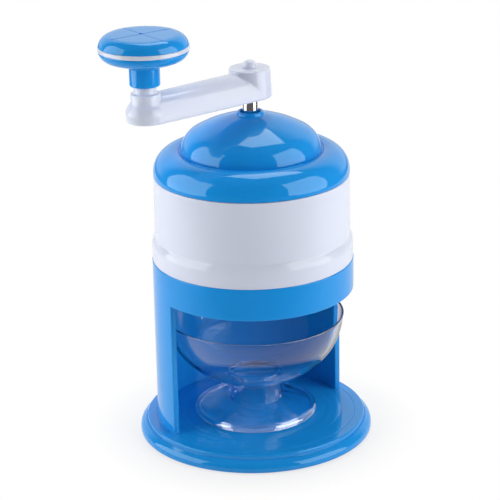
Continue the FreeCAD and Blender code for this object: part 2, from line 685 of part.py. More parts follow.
def make_lid_shell():
    return turned_body("lid_shell", [
        ("lid_skirt_in_r", "lid_skirt_low"), ("skirt_r", "lid_skirt_low"),
        ("skirt_r", "lid_low"), ("lid_r", "lid_low"), ("lid_r", "lid_round_z"),
        ("valley_out_r", "valley_out_z", "shoulder_arc", 1), ("valley_r", "valley_z"),
        ("dome_r", "dome_foot_z"), ("dome_bend_r", "dome_bend_z", "dome_side_arc", 1),
        ("boss_out_r", "boss_foot_z", "dome_top_arc", 1), ("boss_out_r", "boss_side_z"),
        ("boss_crown_r", "boss_crown_z", "boss_arc", 1),
        ("well_r", "boss_lip_z", "boss_arc", 1), ("well_r", "hub_low"), ("hub_r", "hub_low"),
        ("hub_r", "dome_in_top_z"),
        ("dome_in_bend_r", "dome_in_bend_z", "dome_in_top_arc", -1),
        ("dome_in_r", "dome_in_foot_z", "dome_in_side_arc", -1),
        ("shoulder_in_r", "shoulder_in_z"),
        ("lid_skirt_in_r", "shoulder_side_z", "shoulder_in_arc", -1)])


def make_shaft_bush():
    return turned_body("shaft_bush", [
        ("bush_bore_r", "bush_low"), ("hub_r", "bush_low"), ("hub_r", "hub_low"),
        ("well_r", "hub_low"), ("well_r", "bush_top"), ("bush_bore_r", "bush_top")])


def make_thrust_washer():
    return turned_body("thrust_washer", [
        ("washer_bore_r", "washer_low"), ("washer_r", "washer_low"),
        ("washer_r", "washer_top"), ("washer_bore_r", "washer_top")])


def make_spring():
    """Compression spring with closed end coils, swept along a computed centre line."""
    wire, coil = value("wire_r"), value("coil_r")
    turns, closed = value("coil_turns"), value("end_turns")
    low, high = value("washer_top + wire_r"), value("bush_low - wire_r")
    closed_rise = 2 * wire * closed * 1.04
    steps = 24
    points = []
    for index in range(int(turns * steps) + 1):
        turn = index / steps
        if turn <= closed:
            rise = closed_rise * turn / closed
        elif turn >= turns - closed:
            rise = high - low - closed_rise * (turns - turn) / closed
        else:
            part = (turn - closed) / (turns - 2 * closed)
            rise = closed_rise + (high - low - 2 * closed_rise) * part
        angle = 2 * math.pi * turn
        points.append(Vector(coil * math.cos(angle), coil * math.sin(angle), low + rise))
    line = Part.BSplineCurve()
    line.interpolate(points)
    path = Part.Wire([line.toShape()])
    tangent = line.tangent(line.FirstParameter)[0]
    ring = Part.Wire([Part.Circle(points[0], tangent, wire).toShape()])
    spring = doc.addObject("Part::Feature", "spring")
    spring.Shape = path.makePipeShell([ring], True, True)
    return spring


# ---------------------------------------------------------------- shaft and press plate

SPIKES_INNER = tuple(range(0, 360, 60))
SPIKES_OUTER = tuple(range(15, 360, 30))


def make_crank_shaft():
    rod = turned_body("shaft_rod", [
        ("zero", "shaft_low"), ("thread_r", "shaft_low"), ("thread_r", "shaft_step"),
        ("shaft_r", "shaft_step"), ("shaft_r", "groove_low"), ("groove_r", "groove_low"),
        ("groove_r", "groove_low + stop_t"), ("shaft_r", "groove_low + stop_t"),
        ("shaft_r", "shaft_head"), ("thread_r", "shaft_head"), ("thread_r", "shaft_top"),
        ("zero", "shaft_top")])
    flat = box("drive_flat", "flat_cut", "pad_r", "zero - pad_r", "pad_r",
               "arm_low", "shaft_head")
    return turned(cut("crank_shaft", rod, flat), value("arm_turn"))


def make_press_plate():
    plate = turned_body("plate_disc", [
        ("thread_r", "plate_under"), ("plate_r", "plate_under"), ("plate_r", "plate_rim_z"),
        ("plate_rim_r", "plate_rim_z"), ("plate_rim_r", "plate_top"), ("hub_r", "plate_top"),
        ("hub_r", "washer_low"), ("shaft_r", "washer_low"), ("shaft_r", "shaft_step"),
        ("thread_r", "shaft_step")])
    spoke = doc.addObject("Part::Box", "plate_spoke")
    bind(spoke, "Length", "plate_rim_r - hub_r + stop_t + stop_t")
    bind(spoke, "Width", "spoke_w")
    bind(spoke, "Height", "plate_rim_z - plate_top")
    bind(spoke, "Placement.Base.x", "hub_r - stop_t")
    spoke.setExpression("Placement.Base.y", "-sizes.spoke_w / 2")
    bind(spoke, "Placement.Base.z", "plate_top")
    root = cylinder("spike_root_hole", "spike_r", "zero", "spike_root")
    blank = fuse("plate_blank", plate, *polar(spoke, SPIKES_INNER))
    return cut("press_plate", blank, *polar(root, SPIKES_INNER, "spike_ring_1"),
               *polar(root, SPIKES_OUTER, "spike_ring_2"))


def make_press_spikes():
    pin = cylinder("spike_pin", "spike_r", "spike_neck", "spike_root")
    point = cone("spike_point", "spike_tip_r", "spike_r", "spike_tip", "spike_neck")
    spike = fuse("spike", pin, point)
    return group("press_spikes", polar(spike, SPIKES_INNER, "spike_ring_1")
                 + polar(spike, SPIKES_OUTER, "spike_ring_2"))


def make_plate_nut():
    prism = doc.addObject("Part::Prism", "nut_prism")
    prism.Polygon = 6
    prism.setExpression("Circumradius", "sizes.nut_af / 2 / cos(30)")
    bind(prism, "Height", "nut_t")
    bind(prism, "Placement.Base.z", "plate_under - nut_t")
    bore = cylinder("nut_bore", "thread_r", "zero", "plate_under")
    return cut("plate_nut", prism, bore)


def make_stop_ring():
    ring = turned_body("stop_disc", [
        ("groove_r", "groove_low"), ("stop_r", "groove_low"),
        ("stop_r", "groove_low + stop_t"), ("groove_r", "groove_low + stop_t")])
    gap = doc.addObject("Part::Box", "stop_opening")
    bind(gap, "Length", "stop_r + stop_t")
    bind(gap, "Width", "stop_gap")
    bind(gap, "Height", "arm_low - groove_low")
    gap.setExpression("Placement.Base.y", "-sizes.stop_gap / 2")
    bind(gap, "Placement.Base.z", "groove_low - stop_t")
    return cut("stop_ring", ring, gap)


# ---------------------------------------------------------------- crank arm and cap nut

def arm_plan_body():
    """Arm seen from above: two end circles joined by their common tangents, extruded."""
    body = doc.addObject("PartDesign::Body", "arm_plan")
    sketch = body.newObject("Sketcher::SketchObject", "arm_outline")
    sketch.AttachmentSupport = [(origin_plane(body, "XY_Plane"), "")]
    sketch.MapMode = "FlatFace"
    big, small, reach = value("arm_block_r"), value("arm_end_r"), value("crank_len")
    lean = math.acos((big - small) / reach)
    centres = (Vector(), Vector(reach, 0, 0))
    rim = [c + Vector(r * math.cos(a), r * math.sin(a), 0)
           for c, r, a in ((centres[0], big, lean), (centres[0], big, -lean),
                           (centres[1], small, -lean), (centres[1], small, lean))]
    sketch.addGeometry(Part.ArcOfCircle(Part.Circle(centres[0], UP, big),
                                        lean, 2 * math.pi - lean), False)
    sketch.addGeometry(Part.LineSegment(rim[1], rim[2]), False)
    sketch.addGeometry(Part.ArcOfCircle(Part.Circle(centres[1], UP, small),
                                        -lean, lean), False)
    sketch.addGeometry(Part.LineSegment(rim[3], rim[0]), False)
    for first, second in (((0, 2), (1, 1)), ((1, 2), (2, 1)), ((2, 2), (3, 1)), ((3, 2), (0, 1))):
        sketch.addConstraint(Sketcher.Constraint("Tangent", *first, *second))
    sketch.addConstraint(Sketcher.Constraint("Coincident", 0, 3, -1, 1))
    sketch.addConstraint(Sketcher.Constraint("PointOnObject", 2, 3, -1))
    for kind, where, text in (("Radius", (0,), "arm_block_r"), ("Radius", (2,), "arm_end_r"),
                              ("DistanceX", (-1, 1, 2, 3), "crank_len")):
        number = sketch.addConstraint(Sketcher.Constraint(kind, *where, value(text)))
        bind(sketch, f"Constraints[{number}]", text)
    doc.recompute()
    pad = body.newObject("PartDesign::Pad", "arm_pad")
    pad.Profile = sketch
    bind(pad, "Length", "arm_deep")
    body.Tip = pad
    bind(body, "Placement.Base.z", "arm_low")
    doc.recompute()
    return body


def make_crank_arm():
    crown = doc.addObject("Part::Cylinder", "arm_crown")
    bind(crown, "Radius", "arm_crown_r")
    bind(crown, "Height", "crank_len")
    crown.Placement = Placement(Vector(), Rotation(Vector(0, 1, 0), 90))
    bind_base(crown, "zero", "zero", "arm_crown_z - arm_crown_r")
    beam = common("arm_beam", arm_plan_body(), crown)
    block = turned_body("arm_block", [
        ("zero", "arm_low"), ("arm_block_r", "arm_low"),
        ("block_top_r", "arm_low + arm_deep - arm_soft"),
        ("block_top_r - arm_soft", "arm_low + arm_deep", "arm_soft", 1),
        ("zero", "arm_low + arm_deep")])
    end = turned_body("arm_end", [
        ("zero", "arm_low"), ("end_foot_r", "arm_low"),
        ("arm_end_r", "end_wide_z", "end_foot_arc", 1),
        ("end_bend_r", "end_bend_z", "end_bend_arc", 1),
        ("collar_r", "collar_foot_z", "collar_arc", -1),
        ("collar_r", "collar_top"), ("post_wide_r", "collar_top"),
        ("post_wide_r", "post_wide_z"), ("post_r", "post_wide_z"), ("post_r", "post_top"),
        ("zero", "post_top")])
    bind(end, "Placement.Base.x", "crank_len")
    blank = fuse("arm_blank", beam, block, end)
    bore = cylinder("arm_bore", "shaft_r", "arm_low - pad_r", "shaft_head")
    flat = box("arm_flat", "flat_cut", "pad_r", "zero - pad_r", "pad_r",
               "arm_low - pad_r", "shaft_head")
    keyed_bore = cut("arm_keyed_bore", bore, flat)
    top_hole = cylinder("arm_top_hole", "thread_r", "arm_low", "shaft_top")
    pilot = cylinder("arm_screw_pilot", "knob_shank_r", "knob_screw_low", "post_top",
                     x="crank_len")
    arm = cut("crank_arm", blank, keyed_bore, top_hole, pilot)
    return turned(arm, value("arm_turn"))


def make_arm_cap():
    return turned_body("arm_cap", [
        ("thread_r", "arm_low + arm_deep"), ("cap_r", "arm_low + arm_deep"),
        ("cap_r", "cap_side_z"), ("cap_nose_r", "cap_top", "cap_arc", 1), ("zero", "cap_top"),
        ("zero", "cap_bore_z"), ("thread_r", "cap_bore_z")])


# ---------------------------------------------------------------- knob

def at_knob(thing):
    """Move a part modelled about Z to the knob axis."""
    angle = math.radians(value("arm_turn"))
    reach = value("crank_len")
    thing.Placement = Placement(
        Vector(reach * math.cos(angle), reach * math.sin(angle), 0), Rotation())
    return thing


def make_knob_base():
    return at_knob(turned_body("knob_base", [
        ("recess_r", "stem_low"), ("stem_r - stem_soft", "stem_low"),
        ("stem_r", "stem_low + stem_soft", "stem_soft", 1), ("stem_r", "stem_top"),
        ("under_1_r", "under_1_z", "under_1_arc", -1),
        ("under_2_r", "under_2_z", "under_2_arc", 1),
        ("under_3_r", "under_3_z", "under_3_arc", 1), ("under_3_r", "knob_split_z"),
        ("knob_hollow_r", "knob_split_z"), ("knob_pit_r", "knob_pit_z"),
        ("knob_pit_r", "knob_ledge_z"), ("knob_bore_r", "knob_ledge_z"),
        ("knob_bore_r", "recess_z"), ("recess_r", "recess_z")]))


def make_knob_ring():
    return at_knob(turned_body("knob_ring", [
        ("knob_hollow_r", "knob_split_z"), ("white_r - white_soft", "knob_split_z"),
        ("white_r", "knob_split_z + white_soft", "white_soft", 1),
        ("white_r", "white_top - white_soft"),
        ("white_r - white_soft", "white_top", "white_soft", 1),
        ("knob_hollow_r", "white_top")]))


def make_knob_cap():
    cap = turned_body("cap_blank", [
        ("plug_in_r", "plug_low"), ("plug_r", "plug_low"), ("plug_r", "white_top"),
        ("cap_edge_r", "white_top"), ("cap_flat_r", "cap_flat_z", "cap_side_arc", 1),
        ("zero", "cap_flat_z"), ("zero", "cap_in_z"), ("plug_in_r", "cap_in_z")])
    grooves = []
    for number in range(2):
        groove = doc.addObject("Part::Box", f"cross_groove_{number}")
        bind(groove, "Length", "cap_flat_r + cap_flat_r")
        bind(groove, "Width", "cross_w")
        bind(groove, "Height", "cross_deep + cross_deep")
        bind(groove, "Placement.Base.x", "zero - cap_flat_r")
        shift = "sizes.cross_shift" if number == 0 else "0"
        groove.setExpression("Placement.Base.y", f"{shift} - sizes.cross_w / 2")
        bind(groove, "Placement.Base.z", "cap_flat_z - cross_deep")
        doc.recompute()
        grooves.append(turned(group(f"cross_line_{number}", [groove]),
                              value("cross_turn") + 90 * number))
    pin = cylinder("gate_pin", "dimple_r", "cap_flat_z - cross_w - cross_w", "cap_flat_z",
                   y="dimple_shift")
    dimple = turned(group("cap_dimple", [pin]), value("cross_turn"))
    return at_knob(cut("knob_cap", cap, dimple, *grooves))


def make_knob_washer():
    return at_knob(turned_body("knob_washer", [
        ("knob_shank_r", "post_top"), ("knob_washer_r", "post_top"),
        ("knob_washer_r", "post_top + knob_washer_t"),
        ("knob_shank_r", "post_top + knob_washer_t")]))


def make_knob_screw():
    shank = cylinder("knob_shank", "knob_shank_r", "knob_screw_low", "post_top + knob_washer_t")
    head = doc.addObject("Part::Cylinder", "knob_head")
    bind(head, "Radius", "knob_head_r")
    bind(head, "Height", "knob_head_t")
    bind(head, "Placement.Base.z", "post_top + knob_washer_t")
    drive = drive_cross("knob_drive", "post_top + knob_washer_t + knob_head_t", "cross_w")
    return at_knob(cut("knob_screw", fuse("knob_screw_blank", shank, head), drive))


# ---------------------------------------------------------------- cup

def make_cup():
    return turned_body("cup", [
        ("cup_foot_in_r", "floor_z"), ("cup_foot_r - cup_soft", "floor_z"),
        ("cup_foot_r", "floor_z + cup_soft", "cup_soft", 1),
        ("cup_foot_r", "cup_foot_top - cup_soft"),
        ("cup_foot_r - cup_soft", "cup_foot_top", "cup_soft", 1),
        ("cup_foot_flat_r", "cup_foot_top"),
        ("cup_stem_r", "cup_stem_low", "cup_slope_arc", -1), ("cup_stem_r", "cup_stem_top"),
        ("cup_bend_r", "cup_bend_z", "cup_floor_arc", 1),
        ("cup_rim_r", "cup_bead_z", "cup_side_arc", 1), ("cup_bead_r", "cup_bead_z"),
        ("cup_bead_r", "cup_bead_side_z"), ("cup_in_r", "cup_bead_side_z", "cup_bead_arc", 1),
        ("cup_in_bend_r", "cup_in_bend_z", "cup_in_side_arc", -1),
        ("cup_in_flat_r", "cup_in_floor_z", "cup_in_floor_arc", -1),
        ("zero", "cup_in_floor_z"), ("zero", "hollow_top"),
        ("hollow_r", "hollow_top"), ("hollow_r", "hollow_low"),
        ("foot_roof_r", "foot_roof_z"), ("cup_foot_in_r", "foot_roof_z")])


MAKERS = (
    make_stand_base, make_stand_shell, make_base_screws, make_base_feet,
    make_hopper_shell, make_blade_disc, make_blade, make_blade_screws, make_disc_screws,
    make_lid_shell, make_shaft_bush, make_spring, make_thrust_washer,
    make_crank_shaft, make_press_plate, make_press_spikes, make_plate_nut, make_stop_ring,
    make_crank_arm, make_arm_cap,
    make_knob_base, make_knob_ring, make_knob_cap, make_knob_washer, make_knob_screw,
    make_cup,
)

parts = [maker() for maker in MAKERS]
doc.recompute()

for thing in doc.Objects:
    bad = [state for state in thing.State if state in ("Invalid", "Error")]
    if bad:
        raise RuntimeError(f"{thing.Name} is {bad}")

for part in parts:
    shape = part.Shape
    if shape.isNull() or not shape.isValid() or not shape.Solids:
        raise RuntimeError(f"{part.Label} has no valid solid")
    shape.exportStep(f"parts/{part.Label}.step")
    bounds = shape.BoundBox
    print(f"{part.Label:14s} solids {len(shape.Solids):2d} volume {shape.Volume:10.1f} "
          f"x {bounds.XMin:.1f}..{bounds.XMax:.1f} y {bounds.YMin:.1f}..{bounds.YMax:.1f} "
          f"z {bounds.ZMin:.1f}..{bounds.ZMax:.1f}")
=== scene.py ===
# %% [markdown]
# # A hand cranked ice shaver
#
# The shaver is a tall plastic tower.  Ice goes into the white hopper, the domed lid presses
# a spiked plate down on it with a spring, and the crank turns that plate over a blade.  The
# shavings fall through a slot into a clear footed cup, which stands in the open front.
#
# Every piece below is modelled in the frame of the construction model: metres, Z up, the
# shaft on the Z axis, the open front towards -Y.  Sizes are written in millimetres and
# scaled when a mesh is made, because that is how a maker would write them down.

# %% Load the frame
import bpy
import bmesh
import math
from mathutils import Matrix, Vector
from mathutils.noise import noise as noise_at


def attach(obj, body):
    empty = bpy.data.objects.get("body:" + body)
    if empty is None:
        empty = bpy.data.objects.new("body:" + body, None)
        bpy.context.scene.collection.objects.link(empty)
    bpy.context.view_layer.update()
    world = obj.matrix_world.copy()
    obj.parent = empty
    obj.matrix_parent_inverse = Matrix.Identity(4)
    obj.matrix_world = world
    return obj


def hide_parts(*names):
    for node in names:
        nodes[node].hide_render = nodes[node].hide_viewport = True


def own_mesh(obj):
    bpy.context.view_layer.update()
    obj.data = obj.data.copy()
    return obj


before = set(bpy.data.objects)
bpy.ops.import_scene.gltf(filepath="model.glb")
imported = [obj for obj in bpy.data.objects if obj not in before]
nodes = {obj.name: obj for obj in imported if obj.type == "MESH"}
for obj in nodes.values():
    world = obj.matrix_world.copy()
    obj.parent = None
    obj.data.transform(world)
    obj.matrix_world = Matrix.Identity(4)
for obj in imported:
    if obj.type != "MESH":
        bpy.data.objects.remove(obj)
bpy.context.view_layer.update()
MM = 0.001

# %% [markdown]
# ## The camera
#
# A long lens from about a metre away, a little above the shaver and turned 32 degrees from
# the open front, so the window is seen half from the side.  The camera leans by one degree,
# which is set by turning its own right and up directions before they become its matrix.
# Its distances are in metres from the shaft and from the table, its angles in radians.  The
# focal length is given in pixels of a frame 500 wide, and scaled to the sensor's millimetres.

# %% Camera
VIEW_TURN = math.radians(32.0)
CAMERA_AWAY, CAMERA_HIGH = 0.98055, 0.45640
PAN, PITCH, LEAN = -0.00156, 0.34788, -0.01908
FOCAL_PIXELS, FRAME_PIXELS = 1972.4, 500.0
SENSOR = 36.0

to_right = Vector((math.cos(VIEW_TURN), -math.sin(VIEW_TURN), 0))
to_back = Vector((math.sin(VIEW_TURN), math.cos(VIEW_TURN), 0))
looking = (to_right * (math.sin(PAN) * math.cos(PITCH))
           + to_back * (math.cos(PAN) * math.cos(PITCH)) - Vector((0, 0, math.sin(PITCH))))
level_right = to_right * math.cos(PAN) - to_back * math.sin(PAN)
level_up = level_right.cross(looking)
right = level_right * math.cos(LEAN) + level_up * math.sin(LEAN)
up = level_up * math.cos(LEAN) - level_right * math.sin(LEAN)

camera_data = bpy.data.cameras.new("camera")
camera_data.sensor_width = SENSOR
camera_data.lens = SENSOR * (FOCAL_PIXELS / FRAME_PIXELS)
camera_data.clip_start, camera_data.clip_end = 0.05, 50.0
camera = bpy.data.objects.new("camera", camera_data)
bpy.context.scene.collection.objects.link(camera)
place = Matrix((right, up, -looking)).transposed().to_4x4()
place.translation = -to_back * CAMERA_AWAY + Vector((0, 0, CAMERA_HIGH))
camera.matrix_world = place
bpy.context.scene.camera = camera
print("lens", round(camera_data.lens, 1), "mm")

# %% [markdown]
# ## Materials
#
# A material is a tree of nodes.  It could be wired by hand, but every tree repeats the same
# steps: make a node, set its sockets, link it to the next one.  These helpers hold those
# steps, so that a recipe below reads like a list of what the surface does.  Patterns read
# Object coordinates, so they stay on the piece whatever the view.

# %% Node helpers
def new_material(name):
    """An empty node material with its output and one principled shader."""
    material = bpy.data.materials.new(name)
    material.use_nodes = True
    tree = material.node_tree
    tree.nodes.clear()
    output = tree.nodes.new("ShaderNodeOutputMaterial")
    shader = tree.nodes.new("ShaderNodeBsdfPrincipled")
    tree.links.new(shader.outputs["BSDF"], output.inputs["Surface"])
    return material, tree, shader


def add_node(tree, kind, inputs=None, **settings):
    """A node with its settings and inputs; an input may be a value or another socket."""
    node = tree.nodes.new(kind)
    for key, setting in settings.items():
        setattr(node, key, setting)
    for key, wanted in (inputs or {}).items():
        if isinstance(wanted, bpy.types.NodeSocket):
            tree.links.new(wanted, node.inputs[key])
        else:
            node.inputs[key].default_value = wanted
    return node


def set_output(tree, socket, name="Surface"):
    """Link a shader to the material's output."""
    output = next(node for node in tree.nodes if node.type == "OUTPUT_MATERIAL")
    tree.links.new(socket, output.inputs[name])


def maths(tree, operation, *values):
    """The result of a math node on values or sockets."""
    return add_node(tree, "ShaderNodeMath", dict(enumerate(values)),
                    operation=operation).outputs[0]


def noise(tree, scale, detail, stretch=(1, 1, 1)):
    """Noise on Object coordinates; scale is in waves per metre."""
    place = add_node(tree, "ShaderNodeTexCoord").outputs["Object"]
    turned = add_node(tree, "ShaderNodeMapping", {"Vector": place, "Scale": stretch})
    return add_node(tree, "ShaderNodeTexNoise", {
        "Vector": turned.outputs["Vector"], "Scale": scale, "Detail": detail}).outputs["Fac"]


def ranged(tree, value, low, high, out_low, out_high):
    """value from low..high mapped to out_low..out_high, clamped."""
    return add_node(tree, "ShaderNodeMapRange", {
        "Value": value, "From Min": low, "From Max": high,
        "To Min": out_low, "To Max": out_high}).outputs["Result"]


def tinted(tree, factor, first, second):
    """Colour between first and second."""
    mix = tree.nodes.new("ShaderNodeMix")
    mix.data_type = "RGBA"
    tree.links.new(factor, mix.inputs[0])
    mix.inputs[6].default_value = (*first, 1)
    mix.inputs[7].default_value = (*second, 1)
    return mix.outputs[2]


def bumped(tree, shader, height, strength, distance):
    """Tilt the surface by a pattern of heights; distance is in metres."""
    bump = add_node(tree, "ShaderNodeBump", {
        "Height": height, "Strength": strength, "Distance": distance})
    tree.links.new(bump.outputs["Normal"], shader.inputs["Normal"])


# %% [markdown]
# All the plastics are injection moulded.  A real moulding is not a flat colour: the gloss
# varies in soft clouds where the melt cooled at different speeds, the surface has a very
# shallow orange peel, and handling leaves fine dull scratches.  One helper builds that
# recipe, and each plastic only changes its numbers.  The scratches are a noise stretched
# along the height of the piece.  Pale plastics also let a little light in under the skin.

# %% Moulded plastics
CLOUD_WAVES, HAZE_WAVES, SCRATCH_WAVES, PEEL_WAVES = 26.0, 60.0, 420.0, 520.0
SCRATCH, PEEL_DEPTH, LIGHT_DEPTH = 0.035, 0.0004, 0.002


def moulded_plastic(name, colour, deep, gloss, peel=0.02, under=0.0, shine=(1, 1, 1)):
    """Glossy moulding: cloudy colour and gloss, orange peel and fine dull scratches."""
    material, tree, shader = new_material(name)
    cloud = ranged(tree, noise(tree, CLOUD_WAVES, 2.0), 0.35, 0.65, 0.0, 1.0)
    tree.links.new(tinted(tree, cloud, deep, colour), shader.inputs["Base Color"])
    haze = ranged(tree, noise(tree, HAZE_WAVES, 4.0), 0.3, 0.7, *gloss)
    upright = noise(tree, SCRATCH_WAVES, 2.0, (1, 1, 0.06))
    lines = ranged(tree, upright, 0.62, 0.8, 0.0, SCRATCH)
    tree.links.new(maths(tree, "ADD", haze, lines), shader.inputs["Roughness"])
    bumped(tree, shader, noise(tree, PEEL_WAVES, 1.0), peel, PEEL_DEPTH)
    shader.inputs["IOR"].default_value = 1.5
    shader.inputs["Specular Tint"].default_value = (*shine, 1)
    if under:
        shader.inputs["Subsurface Weight"].default_value = under
        shader.inputs["Subsurface Radius"].default_value = (1.0, 0.9, 0.9)
        shader.inputs["Subsurface Scale"].default_value = LIGHT_DEPTH
    print("material", name)
    return material


blue = moulded_plastic("blue moulding", (0.012, 0.302, 0.79), (0.010, 0.29, 0.76),
                       gloss=(0.035, 0.07), shine=(0.74, 1.0, 1.0))
white = moulded_plastic("white moulding", (0.71, 0.75, 0.87), (0.69, 0.73, 0.855),
                        gloss=(0.045, 0.085), under=0.12)
nylon = moulded_plastic("natural nylon", (0.72, 0.70, 0.62), (0.66, 0.64, 0.56),
                        gloss=(0.35, 0.5), peel=0.08, under=0.2)

# %% [markdown]
# ## Metals, rubber and the clear cup
#
# The shaft is chrome plated and polished, so nearly all of its look is reflection; very
# fine turning lines round it keep it from looking like glass.  The blade is ground: its
# scratches run one way, which is a noise stretched along one axis.  The small hardware is
# zinc plated and duller.
#
# The cup is clear styrene.  A clear solid gets its look from two places: light bends at
# both faces, and the plastic soaks up a little light on a long way through it, which is why
# its rim and edges look darker and slightly blue.  The second part is a volume.  A path
# tracer finds almost no lamp through bent glass, so the cup would throw a black shadow; for
# shadow rays it is plainly see-through instead, which is much nearer to a real clear cup.
# The round bead on its foot shines more than the rest: it gets a strong clear coat, which
# fades out just above the bead.

# %% Metals
STAIN_WAVES, LINE_DEPTH = 90.0, 0.0002


def metal(name, colour, deep, gloss, lines, stretch=(1, 1, 1), grain=300.0):
    """Metal with a cloudy colour and scratches stretched along one direction."""
    material, tree, shader = new_material(name)
    shader.inputs["Metallic"].default_value = 1.0
    cloud = ranged(tree, noise(tree, STAIN_WAVES, 4.0), 0.35, 0.65, 0.0, 1.0)
    tree.links.new(tinted(tree, cloud, deep, colour), shader.inputs["Base Color"])
    scratches = noise(tree, grain, 2.0, stretch)
    rough = ranged(tree, scratches, 0.3, 0.7, *gloss)
    tree.links.new(rough, shader.inputs["Roughness"])
    bumped(tree, shader, scratches, lines, LINE_DEPTH)
    print("material", name)
    return material


chrome = metal("polished chrome", (0.80, 0.80, 0.80), (0.76, 0.76, 0.77),
               gloss=(0.03, 0.08), lines=0.05, stretch=(0.2, 0.2, 6), grain=250.0)
ground = metal("ground blade steel", (0.62, 0.63, 0.65), (0.52, 0.53, 0.55),
               gloss=(0.18, 0.38), lines=0.35, stretch=(0.1, 3, 3), grain=400.0)
zinc = metal("zinc plated steel", (0.60, 0.61, 0.62), (0.50, 0.51, 0.52),
             gloss=(0.25, 0.42), lines=0.15)
wire = metal("spring wire", (0.45, 0.45, 0.46), (0.36, 0.36, 0.37),
             gloss=(0.22, 0.4), lines=0.2, grain=600.0)

# %% Rubber
GRAIN_WAVES, GRAIN_DEPTH = 900.0, 0.0003
rubber, tree, shader = new_material("dark rubber")
grains = noise(tree, GRAIN_WAVES, 3.0)
dusty = tinted(tree, grains, (0.018, 0.018, 0.02), (0.035, 0.035, 0.037))
tree.links.new(dusty, shader.inputs["Base Color"])
tree.links.new(ranged(tree, grains, 0.3, 0.7, 0.6, 0.8), shader.inputs["Roughness"])
bumped(tree, shader, grains, 0.3, GRAIN_DEPTH)
print("material", rubber.name)

# %% Clear plastic
SMEAR_WAVES, FLOW_WAVES, FLOW_DEPTH = 45.0, 70.0, 0.0006
COAT_FULL_TO, COAT_GONE_AT = 0.0129, 0.0135

clear, tree, shader = new_material("clear styrene")
for socket, setting in {"Transmission Weight": 1.0, "IOR": 1.54,
                        "Base Color": (0.97, 0.97, 0.985, 1),
                        "Coat IOR": 2.1, "Coat Roughness": 0.02}.items():
    shader.inputs[socket].default_value = setting
smears = noise(tree, SMEAR_WAVES, 4.0)
tree.links.new(ranged(tree, smears, 0.45, 0.8, 0.0, 0.035), shader.inputs["Roughness"])
bumped(tree, shader, noise(tree, FLOW_WAVES, 2.0), 0.04, FLOW_DEPTH)
height = add_node(tree, "ShaderNodeSeparateXYZ", {
    "Vector": add_node(tree, "ShaderNodeTexCoord").outputs["Object"]}).outputs["Z"]
coat = ranged(tree, height, COAT_FULL_TO, COAT_GONE_AT, 1.0, 0.0)
tree.links.new(coat, shader.inputs["Coat Weight"])
shadow = add_node(tree, "ShaderNodeBsdfTransparent", {"Color": (0.93, 0.93, 0.96, 1)})
mix = add_node(tree, "ShaderNodeMixShader", {
    0: add_node(tree, "ShaderNodeLightPath").outputs["Is Shadow Ray"],
    1: shader.outputs["BSDF"], 2: shadow.outputs["BSDF"]})
set_output(tree, mix.outputs[0])
soak = add_node(tree, "ShaderNodeVolumeAbsorption", {
    "Color": (0.35, 0.56, 0.86, 1), "Density": 32.0})
set_output(tree, soak.outputs["Volume"], "Volume")
print("materials", len(bpy.data.materials))

# %% [markdown]
# ## Turned pieces
#
# Most of the shaver is round: base, hopper, lid, cup and knob are all one outline spun
# about an axis.  An outline is a list of (radius, height) corners in millimetres.  A corner
# with two more numbers ends an arc: its radius and its side, 1 for bulging to the right of
# the travel and -1 to the left.
#
# No moulding has a knife edge, so every sharp corner is rounded a little, but the cut never
# takes more than CORNER_SHARE of a side.  Next to a rounding on a wide face one more point
# is added: it keeps the smooth shading of the face from bending all the way across it.

# %% Outlines
ARC_STEP = 0.12
CORNER_TURN = math.radians(25)
CORNER_SHARE, WIDE_FACE, SUPPORT = 0.42, 6, 0.3


def arc_points(start, end, radius, side, step):
    """Points after start on the arc to end, without the start itself."""
    chord = end - start
    half = chord.length / 2
    rise = math.sqrt(max(radius * radius - half * half, 0.0))
    left = Vector((-chord.y, chord.x)).normalized()
    centre = (start + end) / 2 + left * (rise * side)
    a0 = math.atan2(start.y - centre.y, start.x - centre.x)
    a1 = math.atan2(end.y - centre.y, end.x - centre.x)
    turn = (a1 - a0) % math.tau if side > 0 else -((a0 - a1) % math.tau)
    count = max(3, int(abs(turn) / step) + 1)
    return [centre + radius * Vector((math.cos(a0 + turn * i / count),
                                      math.sin(a0 + turn * i / count)))
            for i in range(1, count + 1)]


def trace(corners, step):
    """All the points of an outline, arcs included; step is the turn between arc points."""
    points = []
    for index, corner in enumerate(corners):
        here = Vector(corner[:2])
        if len(corner) == 4:
            points += arc_points(Vector(corners[index - 1][:2]), here, *corner[2:], step)
        else:
            points.append(here)
    return points


def soften(points, radius, steps=3):
    """Round every corner sharper than CORNER_TURN; points on the Z axis stay sharp."""
    result = []
    for index, here in enumerate(points):
        before, after = points[index - 1], points[(index + 1) % len(points)]
        into, out = here - before, after - here
        if into.length < 1e-6:
            continue
        turn = into.angle(out, 0.0) if out.length > 1e-6 else 0.0
        if turn < CORNER_TURN or abs(here.x) < 1e-6:
            result.append(here)
            continue
        cut = min(radius * math.tan(turn / 2), CORNER_SHARE * into.length,
                  CORNER_SHARE * out.length)
        first, last = here - into.normalized() * cut, here + out.normalized() * cut
        if into.length > WIDE_FACE * cut:
            result.append(first - into.normalized() * min(cut, SUPPORT))
        for i in range(steps + 1):
            t = i / steps
            result.append(first * (1 - t) ** 2 + here * (2 * t * (1 - t)) + last * t ** 2)
        if out.length > WIDE_FACE * cut:
            result.append(last + out.normalized() * min(cut, SUPPORT))
    return result


# %% [markdown]
# The spin itself is a small Geometry Nodes tree.  The outline comes in as the object's own
# edges, Mesh to Curve makes a profile of them, and Curve to Mesh carries the profile round
# a circle.  Points on the axis land on each other, so Merge by Distance closes the poles.
# The same tree makes every turned piece; only the outline, the number of segments and the
# material change.

